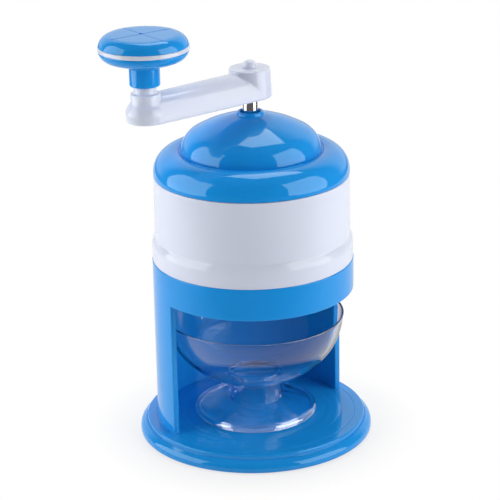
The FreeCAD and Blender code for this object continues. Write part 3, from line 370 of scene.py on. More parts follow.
# %% The turning tree
def new_tree(name, sockets):
    """A geometry tree with a Geometry input, named inputs and a Geometry output."""
    tree = bpy.data.node_groups.new(name, "GeometryNodeTree")
    tree.interface.new_socket("Geometry", in_out="INPUT", socket_type="NodeSocketGeometry")
    for title, kind, default in sockets:
        socket = tree.interface.new_socket(title, in_out="INPUT", socket_type=kind)
        if default is not None:
            socket.default_value = default
    tree.interface.new_socket("Geometry", in_out="OUTPUT", socket_type="NodeSocketGeometry")
    return tree, tree.nodes.new("NodeGroupInput"), tree.nodes.new("NodeGroupOutput")


def finish_tree(tree, geometry, sizes, output):
    """Every tree ends the same way: real geometry with its material."""
    solid = add_node(tree, "GeometryNodeRealizeInstances", {"Geometry": geometry})
    dressed = add_node(tree, "GeometryNodeSetMaterial", {
        "Geometry": solid.outputs["Geometry"], "Material": sizes.outputs["Material"]})
    tree.links.new(dressed.outputs["Geometry"], output.inputs["Geometry"])


turning, sizes, output = new_tree("turning", [
    ("Spin radius", "NodeSocketFloat", 0.05), ("Segments", "NodeSocketInt", 192),
    ("Material", "NodeSocketMaterial", None)])
path = add_node(turning, "GeometryNodeCurvePrimitiveCircle", {
    "Resolution": sizes.outputs["Segments"], "Radius": sizes.outputs["Spin radius"]})
profile = add_node(turning, "GeometryNodeMeshToCurve", {"Mesh": sizes.outputs["Geometry"]})
spun = add_node(turning, "GeometryNodeCurveToMesh", {
    "Curve": path.outputs["Curve"], "Profile Curve": profile.outputs["Curve"]})
closed = add_node(turning, "GeometryNodeMergeByDistance", {
    "Geometry": spun.outputs["Mesh"], "Distance": 1e-6})
finish_tree(turning, closed.outputs["Geometry"], sizes, output)
print("tree", turning.name)

# %% [markdown]
# A tree runs as a modifier.  Its inputs are set by their identifiers before the object is
# looked at, and the result is then kept as a plain mesh, because the export wants one.
# Every mesh is cleaned the same way: doubles merged, faces turned outwards, and smooth
# shading that stops at sharp creases.

# %% Running a tree
CREASE = math.radians(42)


def link(name, mesh, material=None):
    """A new object in the scene; a material, if given, is added to its mesh."""
    piece = bpy.data.objects.new(name, mesh)
    bpy.context.scene.collection.objects.link(piece)
    if material:
        mesh.materials.append(material)
    return piece


def plain_mesh(piece):
    """Swap the piece's mesh for what its modifiers make of it, and drop the modifiers."""
    seen = bpy.context.evaluated_depsgraph_get()
    plain = bpy.data.meshes.new_from_object(piece.evaluated_get(seen), depsgraph=seen)
    piece.modifiers.clear()
    piece.data = plain


def run_tree(name, mesh, tree, values):
    """Run a tree on a mesh and keep the result as a plain mesh object with no modifier."""
    piece = link(name, mesh)
    modifier = piece.modifiers.new(tree.name, "NODES")
    modifier.node_group = tree
    for item in tree.interface.items_tree:
        if item.in_out == "INPUT" and item.name in values:
            modifier[item.identifier] = values[item.name]
    plain_mesh(piece)
    piece.data.name = name
    return tidy_mesh(piece)


def tidy_mesh(piece):
    """Merge doubles, point every face outwards and shade smooth up to sharp creases."""
    made = bmesh.new()
    made.from_mesh(piece.data)
    bmesh.ops.remove_doubles(made, verts=made.verts, dist=1e-6)
    bmesh.ops.dissolve_degenerate(made, edges=made.edges, dist=1e-8)
    bmesh.ops.recalc_face_normals(made, faces=made.faces)
    made.to_mesh(piece.data)
    made.free()
    piece.data.shade_smooth()
    piece.data.set_sharp_from_angle(angle=CREASE)
    return piece


# %% [markdown]
# A piece may also ride on a body, which carries it when a joint moves, and stand for one or
# more solids of the construction model, which then aren't shown.

# %% Turning and fitting a piece
SPIN = 0.05


def turned(name, corners, material, edge, segments=192, centre=(0, 0), step=ARC_STEP):
    """A turned piece from an outline in millimetres; centre is its axis in metres."""
    points = soften(trace(corners, step), edge)
    mesh = bpy.data.meshes.new(name + "_outline")
    spots = [(p.x * MM - SPIN, -p.y * MM, 0) for p in points]
    count = len(spots)
    mesh.from_pydata(spots, [(i, (i + 1) % count) for i in range(count)], [])
    piece = run_tree(name, mesh, turning, {
        "Spin radius": SPIN, "Segments": segments, "Material": material})
    piece.data.transform(Matrix.Translation((*centre, 0)))
    print(name, len(piece.data.polygons), "faces")
    return piece


def fit(piece, body, slot, *replaced):
    """The piece rides on a body and stands for CAD nodes; its finish slot is not used."""
    if replaced:
        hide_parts(*replaced)
    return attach(piece, body)


# %% [markdown]
# ## The base
#
# A wide disc with a rounded lip, a fine gutter inside the lip, a small step and a flat,
# polished floor.  Under it the moulding is hollow, with a thick ring for the screws and a
# skirt at the rim.  A fine groove in the floor lies just outside the wall, and three very
# shallow rings inside it are the marks that turning left on the mould.  A stretch of
# outline that repeats is a function.

# %% Base disc
FLOOR, UNDER_FLOOR = 9.0, 6.0
SCREW_RING_IN, SCREW_RING_OUT, SCREW_RING_LOW = 43.0, 56.0, 1.6
SKIRT_IN, BASE_R, SKIRT_LOW, SKIRT_TOP = 60.2, 62.6, 0.8, 5.4
TOOL_MARKS = (46.2, 42.2, 37.8)


def floor_groove(radius, half, deep):
    """Three outline points of a groove in the floor, from the outside in."""
    return [(radius + half, FLOOR), (radius, FLOOR - deep), (radius - half, FLOOR)]


marks = [point for radius in TOOL_MARKS for point in floor_groove(radius, 0.4, 0.04)]
base = turned("base_disc", [
    (0, UNDER_FLOOR), (SCREW_RING_IN, UNDER_FLOOR), (SCREW_RING_IN, SCREW_RING_LOW),
    (SCREW_RING_OUT, SCREW_RING_LOW), (SCREW_RING_OUT, SKIRT_TOP), (SKIRT_IN, SKIRT_TOP),
    (SKIRT_IN, SKIRT_LOW), (BASE_R, SKIRT_LOW), (BASE_R, 2.2), (60.7, 5.7, 4.0, 1),
    (59.5, 6.7), (59.2, 6.4), (58.9, 6.7), (58.85, 8.2), (58.05, FLOOR, 0.8, 1)]
    + floor_groove(53.6, 0.2, 0.18) + marks + [(0, FLOOR)],
    blue, edge=0.3, segments=256)
fit(base, "stand", "blue_plastic", "stand_base")

# %% [markdown]
# ## The wall and its ring
#
# One moulding: a full ring at the top, and below it only the back of the tube, a little more
# than half of it, so the front is open for the cup.  It isn't a full turn, so it is made as
# a sheet of faces on the outer surface, row by row, leaving out the faces of the window.
# Solidify gives the wall its thickness towards the inside, and Bevel rounds the edges that
# light catches.

# %% Sheet of the wall
WALL_R, WALL_THICK, WALL_REACH = 53.2, 3.0, 3.6
WALL_LOW, RING_LOW, RING_TOP = 8.6, 81.5, 98.5
HALF_COUNT = 128
COLUMNS = 2 * HALF_COUNT
rows = [WALL_LOW, 9.6, 20, 35, 50, 65, 80.4, RING_LOW, 82.5, 90, 97.5, RING_TOP]
end_turn = math.asin(WALL_REACH / WALL_R)
angles = [-end_turn + (math.pi + 2 * end_turn) * c / HALF_COUNT
          for c in range(HALF_COUNT + 1)]
angles += [angles[-1] + (math.pi - 2 * end_turn) * c / HALF_COUNT
           for c in range(1, HALF_COUNT)]
made = bmesh.new()
grid = [[made.verts.new((WALL_R * MM * math.cos(a), WALL_R * MM * math.sin(a), z * MM))
         for a in angles] for z in rows]
for row, (lower, upper) in enumerate(zip(grid, grid[1:])):
    for c in range(HALF_COUNT if rows[row] < RING_LOW else COLUMNS):
        n = (c + 1) % COLUMNS
        made.faces.new((lower[c], lower[n], upper[n], upper[c]))
for vert in [v for v in made.verts if not v.link_faces]:
    made.verts.remove(vert)
wall_sheet = bpy.data.meshes.new("wall")
made.to_mesh(wall_sheet)
made.free()
print("sheet", len(wall_sheet.polygons), "faces")


# %% Wall and ring
def modified(piece, *modifiers):
    """Apply modifiers given as (type, settings) and keep a plain mesh."""
    for kind, settings in modifiers:
        modifier = piece.modifiers.new(kind.lower(), kind)
        for key, setting in settings.items():
            setattr(modifier, key, setting)
    plain_mesh(piece)
    return piece


wall = link("wall_and_ring", wall_sheet, blue)
modified(wall,
         ("SOLIDIFY", {"thickness": WALL_THICK * MM, "offset": -1.0,
                       "use_even_offset": True}),
         ("BEVEL", {"width": 0.35 * MM, "segments": 3, "limit_method": "ANGLE",
                    "angle_limit": math.radians(40)}))
tidy_mesh(wall)
fit(wall, "stand", "blue_plastic", "stand_shell")
print("wall_and_ring", len(wall.data.polygons), "faces")

# %% [markdown]
# ## Things that repeat round the axis
#
# Screws, rubber feet, ribs and spikes all stand in rings about the shaft.  One tree covers
# them: a line of points, each moved to its angle on the ring, and one copy of the piece on
# each point, turned to face outwards.

# %% The ring tree
around, sizes, output = new_tree("ring_of_copies", [
    ("Ring radius", "NodeSocketFloat", 0.04), ("First angle", "NodeSocketFloat", 0.0),
    ("Step angle", "NodeSocketFloat", 1.0), ("Count", "NodeSocketInt", 4),
    ("Material", "NodeSocketMaterial", None)])
points = add_node(around, "GeometryNodeMeshLine", {"Count": sizes.outputs["Count"]})
number = add_node(around, "GeometryNodeInputIndex")
angle = maths(around, "MULTIPLY_ADD", number.outputs[0], sizes.outputs["Step angle"],
              sizes.outputs["First angle"])
across, along = [maths(around, "MULTIPLY", maths(around, wave, angle),
                       sizes.outputs["Ring radius"]) for wave in ("COSINE", "SINE")]
spot = add_node(around, "ShaderNodeCombineXYZ", {"X": across, "Y": along})
facing = add_node(around, "ShaderNodeCombineXYZ", {"Z": angle})
placed = add_node(around, "GeometryNodeSetPosition", {
    "Geometry": points.outputs["Mesh"], "Position": spot.outputs[0]})
copies = add_node(around, "GeometryNodeInstanceOnPoints", {
    "Points": placed.outputs["Geometry"], "Instance": sizes.outputs["Geometry"],
    "Rotation": facing.outputs[0]})
finish_tree(around, copies.outputs["Instances"], sizes, output)
print("tree", around.name)


# %% Rings of copies
def ring(name, one, material, count, radius, first, step):
    """count copies of a mesh on a ring; radius in millimetres, angles in degrees."""
    piece = run_tree(name, one, around, {
        "Ring radius": radius * MM, "First angle": math.radians(first),
        "Step angle": math.radians(step), "Count": count, "Material": material})
    print(name, count, "copies")
    return piece


def take_mesh(piece):
    """The mesh of a helper piece; the piece itself is removed."""
    mesh = piece.data
    bpy.data.objects.remove(piece)
    return mesh


# %% [markdown]
# A screw is turned first, a shank with a shallow domed head.  Two thin bars then cut its
# cross recess with a Boolean.  The head faces down, because these screws come up from below.

# %% Blocks and cuts
def block(name, low, high, material=zinc, turn=0.0):
    """A box between two corners in millimetres, as raw material for cutting and joining."""
    mesh = bpy.data.meshes.new(name)
    made = bmesh.new()
    bmesh.ops.create_cube(made, size=1.0)
    for vert in made.verts:
        vert.co = Vector([(low[i] + high[i]) / 2 + vert.co[i] * (high[i] - low[i])
                          for i in range(3)]) * MM
    bmesh.ops.rotate(made, verts=made.verts, cent=(0, 0, 0),
                     matrix=Matrix.Rotation(turn, 3, "Z"))
    made.to_mesh(mesh)
    made.free()
    return link(name, mesh, material)


def cut_away(piece, *tools):
    """Boolean difference with several tools, which are removed afterwards."""
    for tool in tools:
        modified(piece, ("BOOLEAN", {"operation": "DIFFERENCE", "object": tool,
                                     "solver": "EXACT"}))
        bpy.data.objects.remove(tool)
    return tidy_mesh(piece)


# %% One screw
SLOT_HALF, SLOT_DEEP = 0.32, 0.55


def screw_mesh(shank_r, head_r, head_low, seat, top):
    """One cross head screw pointing up, as a mesh."""
    screw = turned("screw", [
        (0, head_low), (head_r * 0.55, head_low), (head_r, seat - 0.4, head_r * 1.1, 1),
        (head_r, seat), (shank_r, seat), (shank_r, top - 0.8), (0.3, top), (0, top)],
        zinc, edge=0.12, segments=32)
    reach = head_r * 0.5
    bars = [block("bar", (-reach, -SLOT_HALF, head_low - 1),
                  (reach, SLOT_HALF, head_low + SLOT_DEEP), turn=quarter)
            for quarter in (0, math.pi / 2)]
    return take_mesh(cut_away(screw, *bars))


# %% Base screws and feet
FOOT_R, FOOT_TOP = 4.5, 2.6
base_screw = screw_mesh(shank_r=1.4, head_r=2.8, head_low=1.8, seat=3.4, top=8.2)
base_screws = ring("base_screws_set", base_screw, zinc, count=4, radius=49.2, first=21.0,
                   step=46.0)
fit(base_screws, "stand", "zinc_steel", "base_screws")
pad = take_mesh(turned("pad", [
    (0, 0), (FOOT_R - 0.4, 0), (FOOT_R, 0.4, 0.4, 1), (FOOT_R, FOOT_TOP), (0, FOOT_TOP)],
    rubber, edge=0.1, segments=48))
feet = ring("rubber_feet", pad, rubber, count=4, radius=50.0, first=45.0, step=90.0)
fit(feet, "stand", "dark_rubber", "base_feet")

# %% [markdown]
# ## The hopper
#
# A glossy white tube.  At its foot it swells softly into a band as wide as the stand, and
# below that a spigot with three keys drops into the ring.  Inside, four ribs stop the ice
# from turning with the plate.  Ribs and keys are plain blocks that are made where they
# stand on the X axis, so their ring has no radius and only turns them.

# %% Hopper tube
HOPPER_R, HOPPER_IN, HOPPER_TOP = 51.2, 48.4, 143.8
SPIGOT_R, SPIGOT_IN, SPIGOT_LOW = 50.1, 47.0, 87.5
BAND_R, BAND_TOP = 53.0, 105.0
hopper = turned("hopper_tube", [
    (SPIGOT_IN, SPIGOT_LOW), (SPIGOT_R, SPIGOT_LOW), (SPIGOT_R, RING_TOP),
    (BAND_R - 0.1, RING_TOP), (BAND_R, 99.0), (BAND_R, BAND_TOP),
    (51.85, 110.4, 7.0, 1), (51.5, 111.6, 1.5, -1), (HOPPER_R, HOPPER_TOP),
    (HOPPER_IN, HOPPER_TOP), (HOPPER_IN, 101.0), (SPIGOT_IN, RING_TOP)],
    white, edge=0.25, segments=256)
fit(hopper, "hopper", "white_plastic", "hopper_shell")

# %% Ribs and keys
rib = take_mesh(block("rib", (46.4, -1.5, 98.6), (48.9, 1.5, 134.0)))
ribs = ring("ice_ribs", rib, white, count=4, radius=0, first=45.0, step=90.0)
fit(ribs, "hopper", "white_plastic")
key = take_mesh(block("key", (49.0, -2.0, 92.0), (51.3, 2.0, 98.6)))
keys = ring("hopper_keys", key, white, count=3, radius=0, first=30.0, step=120.0)
fit(keys, "hopper", "white_plastic")

# %% [markdown]
# The ice floor hangs from three bosses inside the spigot, with a screw in each.

# %% Bosses and disc screws
BOSS_R, BOSS_LOW, BOSS_TOP, PILOT_R = 3.2, 87.6, 94.0, 1.3
bolt_circle = {"count": 3, "radius": 44.4, "first": 90.0, "step": 120.0}
boss = take_mesh(turned("boss", [
    (PILOT_R, BOSS_LOW), (BOSS_R, BOSS_LOW), (BOSS_R, BOSS_TOP), (PILOT_R, BOSS_TOP)],
    white, edge=0.2, segments=40))
bosses = ring("screw_bosses", boss, white, **bolt_circle)
fit(bosses, "hopper", "white_plastic")
disc_screw = screw_mesh(shank_r=PILOT_R, head_r=2.6, head_low=82.7, seat=84.2, top=92.7)
disc_screws = ring("disc_screws_set", disc_screw, zinc, **bolt_circle)
fit(disc_screws, "hopper", "zinc_steel", "disc_screws")

# %% [markdown]
# ## The lid
#
# The lid has two round forms with a valley between them: a fat rounded shoulder and a dome.
# On top of the dome a small collar surrounds the shaft, and the dark gap inside it is real:
# the nylon bush sits a few millimetres down.

# %% Lid and bush
SHAFT_R = 4.0
LID_R, LID_SEAT = 51.3, 144.1
LIP_R, LIP_IN, LIP_LOW = 48.3, 45.6, 137.0
BUSH_R, FLANGE_R, FLANGE_LOW, FLANGE_TOP, BUSH_TOP = 5.4, 9.0, 164.0, 165.9, 174.8
lid = turned("lid_dome", [
    (LIP_IN, LIP_LOW), (LIP_R, LIP_LOW), (LIP_R, LID_SEAT), (LID_R, LID_SEAT),
    (LID_R, 145.9), (38.9, 157.03, 11.2, 1), (37.9, 156.7, 2.0, 1), (36.75, 156.1, 1.6, -1),
    (29.8, 167.6, 13.5, 1), (7.8, 175.4, 66.0, 1), (7.15, 175.9, 0.7, -1),
    (7.1, 176.2), (6.15, 177.4, 1.3, 1), (BUSH_R, 176.9, 1.3, 1), (BUSH_R, FLANGE_TOP),
    (FLANGE_R, FLANGE_TOP), (FLANGE_R, 172.2), (28.2, 165.0, 60.0, -1),
    (33.8, 155.0, 11.0, -1), (40.1, 154.3), (LIP_IN, 149.0, 7.5, -1)],
    blue, edge=0.3, segments=256)
fit(lid, "lid", "blue_plastic", "lid_shell")
bush = turned("shaft_sleeve", [
    (SHAFT_R + 0.06, FLANGE_LOW), (FLANGE_R, FLANGE_LOW), (FLANGE_R, FLANGE_TOP),
    (BUSH_R, FLANGE_TOP), (BUSH_R, BUSH_TOP), (SHAFT_R + 0.06, BUSH_TOP)],
    nylon, edge=0.3, segments=96)
fit(bush, "lid", "natural_nylon", "shaft_bush")

# %% [markdown]
# ## The spring
#
# A spring is a rule in itself: a point that turns and rises at the same time.  The tree
# takes a spiral of height one, gives its two end coils less rise so that they lie flat, and
# carries a wire section along it.

# %% The spring tree
coil, sizes, output = new_tree("spring", [
    ("Coil radius", "NodeSocketFloat", 0.007), ("Wire radius", "NodeSocketFloat", 0.0008),
    ("Turns", "NodeSocketFloat", 10.0), ("Low", "NodeSocketFloat", 0.0),
    ("High", "NodeSocketFloat", 1.0), ("Closed rise", "NodeSocketFloat", 0.0017),
    ("Material", "NodeSocketMaterial", None)])
spiral = add_node(coil, "GeometryNodeCurveSpiral", {
    "Resolution": 40, "Rotations": sizes.outputs["Turns"],
    "Start Radius": sizes.outputs["Coil radius"],
    "End Radius": sizes.outputs["Coil radius"], "Height": 1.0})
here = add_node(coil, "ShaderNodeSeparateXYZ",
                {"Vector": add_node(coil, "GeometryNodeInputPosition").outputs[0]})
share = maths(coil, "DIVIDE", 1.0, sizes.outputs["Turns"])
rest = maths(coil, "SUBTRACT", 1.0, share)
low_end = maths(coil, "ADD", sizes.outputs["Low"], sizes.outputs["Closed rise"])
high_end = maths(coil, "SUBTRACT", sizes.outputs["High"], sizes.outputs["Closed rise"])
first_coil = ranged(coil, here.outputs["Z"], 0.0, share, sizes.outputs["Low"], low_end)
middle = ranged(coil, here.outputs["Z"], share, rest, 0.0, 1.0)
last_coil = ranged(coil, here.outputs["Z"], rest, 1.0, 0.0, sizes.outputs["Closed rise"])
reach = maths(coil, "SUBTRACT", high_end, low_end)
lifted = maths(coil, "MULTIPLY_ADD", middle, reach, first_coil)
spot = add_node(coil, "ShaderNodeCombineXYZ", {
    "X": here.outputs["X"], "Y": here.outputs["Y"], "Z": maths(coil, "ADD", lifted, last_coil)})
bent = add_node(coil, "GeometryNodeSetPosition", {
    "Geometry": spiral.outputs["Curve"], "Position": spot.outputs[0]})
section = add_node(coil, "GeometryNodeCurvePrimitiveCircle", {
    "Resolution": 14, "Radius": sizes.outputs["Wire radius"]})
drawn = add_node(coil, "GeometryNodeCurveToMesh", {
    "Curve": bent.outputs["Geometry"], "Profile Curve": section.outputs["Curve"],
    "Fill Caps": True})
finish_tree(coil, drawn.outputs["Mesh"], sizes, output)
print("tree", coil.name)

# %% [markdown]
# The spring stands on a washer and pushes up against the flange of the bush.

# %% Spring and washer
WASHER_R, WASHER_LOW, WASHER_TOP = 9.5, 102.0, 103.2
SPRING_LOW, SPRING_HIGH, PRESS_TRAVEL = WASHER_TOP * MM, FLANGE_LOW * MM, 40.0 * MM
COIL_R, WIRE_R, COIL_TURNS, CLOSED_RISE = 7.0 * MM, 0.8 * MM, 10.0, 1.7 * MM
spring = run_tree("press_spring", bpy.data.meshes.new("nothing"), coil, {
    "Coil radius": COIL_R, "Wire radius": WIRE_R, "Turns": COIL_TURNS,
    "Low": SPRING_LOW + WIRE_R, "High": SPRING_HIGH - WIRE_R, "Closed rise": CLOSED_RISE,
    "Material": wire})
fit(spring, "lid", "spring_steel", "spring")
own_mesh(spring)
washer = turned("thrust_ring", [
    (SHAFT_R + 0.08, WASHER_LOW), (WASHER_R, WASHER_LOW), (WASHER_R, WASHER_TOP),
    (SHAFT_R + 0.08, WASHER_TOP)], zinc, edge=0.15, segments=96)
fit(washer, "spring_seat", "zinc_steel", "thrust_washer")

# %% [markdown]
# ## Shaft and press plate
#
# The shaft is a plain chromed rod with a thinner threaded end below and above, and a groove
# for the stop ring.  The threads are hidden in the plate and the arm, so they stay plain.
# The plate on the lower end has a raised rim and ribs, and carries two rings of steel
# spikes that bite into the ice.

# %% Shaft
THREAD_R, SHAFT_LOW, SHAFT_TOP = 2.5, 91.6, 202.1
LOW_SHOULDER, HIGH_SHOULDER = 98.5, 196.0
GROOVE_R, GROOVE_LOW, GROOVE_TOP = 3.4, 174.9, 175.8
shaft = turned("chromed_shaft", [
    (0, SHAFT_LOW), (2.2, SHAFT_LOW), (THREAD_R, 92.0), (THREAD_R, LOW_SHOULDER),
    (SHAFT_R, LOW_SHOULDER), (SHAFT_R, GROOVE_LOW), (GROOVE_R, GROOVE_LOW),
    (GROOVE_R, GROOVE_TOP), (SHAFT_R, GROOVE_TOP), (SHAFT_R, HIGH_SHOULDER),
    (THREAD_R, HIGH_SHOULDER), (THREAD_R, SHAFT_TOP), (0, SHAFT_TOP)],
    chrome, edge=0.12, segments=96)
fit(shaft, "crank", "chromed_steel", "crank_shaft")

# %% Press plate
PLATE_R, RIM_IN, PLATE_LOW, PLATE_TOP, RIM_TOP = 44.8, 42.6, 95.0, 98.0, 100.4
HUB_R, HUB_TOP = 9.0, 101.9
plate = turned("press_plate_disc", [
    (THREAD_R + 0.1, PLATE_LOW), (PLATE_R, PLATE_LOW), (PLATE_R, RIM_TOP),
    (RIM_IN, RIM_TOP), (RIM_IN, PLATE_TOP), (HUB_R, PLATE_TOP), (HUB_R, HUB_TOP),
    (SHAFT_R + 0.05, HUB_TOP), (SHAFT_R + 0.05, LOW_SHOULDER),
    (THREAD_R + 0.1, LOW_SHOULDER)], white, edge=0.3)
fit(plate, "crank", "white_plastic", "press_plate")
plate_rib = take_mesh(block("rib", (8.6, -1.2, 97.9), (43.0, 1.2, 100.3)))
plate_ribs = ring("plate_ribs", plate_rib, white, count=6, radius=0, first=0, step=60.0)
fit(plate_ribs, "crank", "white_plastic")

# %% Spikes
SPIKE_R, SPIKE_TIP, SPIKE_LOW, SPIKE_TOP = 1.3, 89.8, 92.6, 97.0
spike = take_mesh(turned("spike", [
    (0, SPIKE_TIP), (0.25, SPIKE_TIP), (SPIKE_R, SPIKE_LOW), (SPIKE_R, SPIKE_TOP),
    (0, SPIKE_TOP)], ground, edge=0.08, segments=24))
inner_spikes = ring("spikes_inner", spike.copy(), ground, count=6, radius=19.0, first=0,
                    step=60.0)
fit(inner_spikes, "crank", "blade_steel", "press_spikes")
outer_spikes = ring("spikes_outer", spike, ground, count=12, radius=35.0, first=15.0,
                    step=30.0)
fit(outer_spikes, "crank", "blade_steel", "press_spikes")

# %% [markdown]
# ## The crank arm
#
# One thick moulding: an upright round block at the shaft, a loaf shaped beam, and a vase
# shaped foot that carries the knob on a post.  The three forms flow into each other with
# soft fillets, which plain solids put together don't have.  So the forms are joined by
# Remesh, which wraps one skin of tiny squares round all of them, and Smooth then melts the
# creases into fillets.  No edge of that skin counts as sharp, so it shades as one surface.

# %% Beam
ARM_TURN, REACH = math.radians(188.0), 67.2
ARM_LOW, BEAM_KNEE, BEAM_TOP, BLOCK_TOP = 185.1, 187.1, 198.6, 200.2
CROWN_COUNT = 20


def loaf_section(half):
    """Outline of the beam at one station: flat bottom, short upright side, round crown."""
    turns = [math.pi * i / CROWN_COUNT for i in range(CROWN_COUNT + 1)]
    crown = [(-half * math.cos(turn), BEAM_KNEE + (BEAM_TOP - BEAM_KNEE) * math.sin(turn))
             for turn in turns]
    return [(-half, ARM_LOW)] + crown + [(half, ARM_LOW)]


stations = [(0.0, 11.35), (REACH * 0.5, 10.85), (REACH, 9.9)]
made = bmesh.new()
loops = [[made.verts.new((x * MM, y * MM, z * MM)) for y, z in loaf_section(half)]
         for x, half in stations]
for first, second in zip(loops, loops[1:]):
    for i in range(len(first)):
        n = (i + 1) % len(first)
        made.faces.new((first[i], first[n], second[n], second[i]))
made.faces.new(loops[0][::-1])
made.faces.new(loops[-1])
bmesh.ops.recalc_face_normals(made, faces=made.faces)
beam_data = bpy.data.meshes.new("beam")
made.to_mesh(beam_data)
made.free()
beam = link("beam", beam_data, white)
print("beam", len(beam_data.polygons), "faces")

# %% Block and foot
POST_R, POST_TOP, COLLAR_R, COLLAR_TOP = 4.6, 217.9, 5.7, 204.6
shaft_block = turned("shaft_block", [
    (0, ARM_LOW), (11.4, ARM_LOW), (10.68, 199.6), (10.05, BLOCK_TOP, 0.6, 1),
    (0, BLOCK_TOP)], white, edge=0.3, segments=128)
foot = turned("foot", [
    (0, ARM_LOW), (9.6, ARM_LOW), (10.0, 188.8, 18.0, 1), (8.3, 193.7, 6.2, 1),
    (7.4, 195.6, 2.6, -1), (7.4, 199.6), (COLLAR_R, 199.6), (COLLAR_R, COLLAR_TOP),
    (POST_R, COLLAR_TOP), (POST_R, POST_TOP), (0, POST_TOP)], white, edge=0.25,
    segments=128, centre=(REACH * MM, 0))

# %% Arm skin
VOXEL = 0.36 * MM
joined = bmesh.new()
for part in (beam, shaft_block, foot):
    joined.from_mesh(part.data)
    bpy.data.objects.remove(part)
arm_data = bpy.data.meshes.new("crank_arm_skin")
joined.to_mesh(arm_data)
joined.free()
arm = link("crank_arm_skin", arm_data, white)
modified(arm, ("REMESH", {"mode": "VOXEL", "voxel_size": VOXEL}),
         ("SMOOTH", {"factor": 0.5, "iterations": 5}))
arm.data.materials.clear()
arm.data.materials.append(white)
arm_place = Matrix.Rotation(ARM_TURN, 4, "Z")
arm.data.transform(arm_place)
tidy_mesh(arm)
arm.data.set_sharp_from_angle(angle=math.pi)
fit(arm, "crank", "white_plastic", "crank_arm")
print("crank_arm_skin", len(arm.data.polygons), "faces")

# %% Cap nut
NUT_R, NUT_TOP, NUT_ROOF = 4.0, 204.2, 202.4
cap_nut = turned("cap_nut", [
    (THREAD_R, BLOCK_TOP), (NUT_R, BLOCK_TOP), (NUT_R, BLOCK_TOP + 0.4),
    (0.9, NUT_TOP, 3.9, 1), (0, NUT_TOP), (0, NUT_ROOF), (THREAD_R, NUT_ROOF)],
    white, edge=0.15, segments=64)
fit(cap_nut, "crank", "white_plastic", "arm_cap")

# %% [markdown]
# ## The knob
#
# A mushroom in three mouldings: a stem that opens into a shallow bowl, a thin white ring,
# and a cap with soft shoulders.  Two fine grooves cross on the flat top, and a tiny dimple
# marks the place where the plastic was injected.  The grooves are cut with Booleans, so
# that they are really there.

# %% Bowl and ring
KNOB = tuple(arm_place @ Vector((REACH * MM, 0, 0)))[:2]
STEM_R, STEM_IN, SOCKET_R = 7.65, 6.0, 4.7
KNOB_R, RING_R, SEAT_R = 22.3, 22.7, 15.0
BOWL_LOW, BOWL_TOP, RING_UP = 203.4, 221.4, 223.6
knob_base = turned("knob_bowl", [
    (STEM_IN, BOWL_LOW), (6.9, BOWL_LOW), (STEM_R, 204.15, 0.75, 1), (STEM_R, 212.4),
    (9.1, 213.9, 1.5, -1), (17.8, 216.2, 40.0, 1), (KNOB_R, 220.6, 6.4, 1),
    (KNOB_R, BOWL_TOP), (SEAT_R, BOWL_TOP), (9.6, 219.0), (9.6, 217.6), (SOCKET_R, 217.6),
    (SOCKET_R, 204.7), (STEM_IN, 204.7)], blue, edge=0.25, centre=KNOB)
fit(knob_base, "knob", "blue_plastic", "knob_base")
knob_ring = turned("knob_white_ring", [
    (SEAT_R, BOWL_TOP), (22.2, BOWL_TOP), (RING_R, 222.0, 0.6, 1), (RING_R, 223.0),
    (22.2, RING_UP, 0.6, 1), (SEAT_R, RING_UP)], white, edge=0.1, centre=KNOB)
fit(knob_ring, "knob", "white_plastic", "knob_ring")

# %% Cap with its grooves
KNOB_TOP, PLUG_R, PLUG_IN = 229.0, 14.9, 12.6
GROOVE_REACH, TOP_TURN = 17.7, 4.0
knob_cap = turned("knob_top", [
    (PLUG_IN, 222.0), (PLUG_R, 222.0), (PLUG_R, RING_UP), (22.2, RING_UP),
    (KNOB_R, 223.8), (17.9, 228.95, 6.8, 1), (15.0, KNOB_TOP), (0, KNOB_TOP), (0, 226.5),
    (PLUG_IN, 226.5)], blue, edge=0.2, segments=256)
bars = [block("groove", (-GROOVE_REACH, shift - half, KNOB_TOP - deep),
              (GROOVE_REACH, shift + half, KNOB_TOP + 2.0), blue, math.radians(turn))
        for turn, shift, half, deep in ((TOP_TURN, 1.2, 0.3, 0.45),
                                        (TOP_TURN + 90.0, 0.0, 0.2, 0.15))]
dimple = turned("dimple", [
    (0, KNOB_TOP - 1.0), (0.6, KNOB_TOP - 1.0), (0.9, KNOB_TOP - 0.6),
    (0.9, KNOB_TOP + 2.0), (0, KNOB_TOP + 2.0)], blue, edge=0.1, segments=24)
dimple.data.transform(Matrix.Rotation(math.radians(TOP_TURN), 4, "Z")
                      @ Matrix.Translation((0, 2.2 * MM, 0)))
cut_away(knob_cap, *bars, dimple)
knob_cap.data.transform(Matrix.Translation((*KNOB, 0)))
fit(knob_cap, "knob", "blue_plastic", "knob_cap")

# %% [markdown]
# ## The cup
#
# A clear bowl on a short hollow stem and a wide foot with a round bead.  Its outline has to
# be closed all the way round, inside and outside, with its real wall of a little more than
# one millimetre, because the renderer bends light at both faces.  Bent light also shows
# every flat facet, so the arcs have finer steps here than elsewhere.

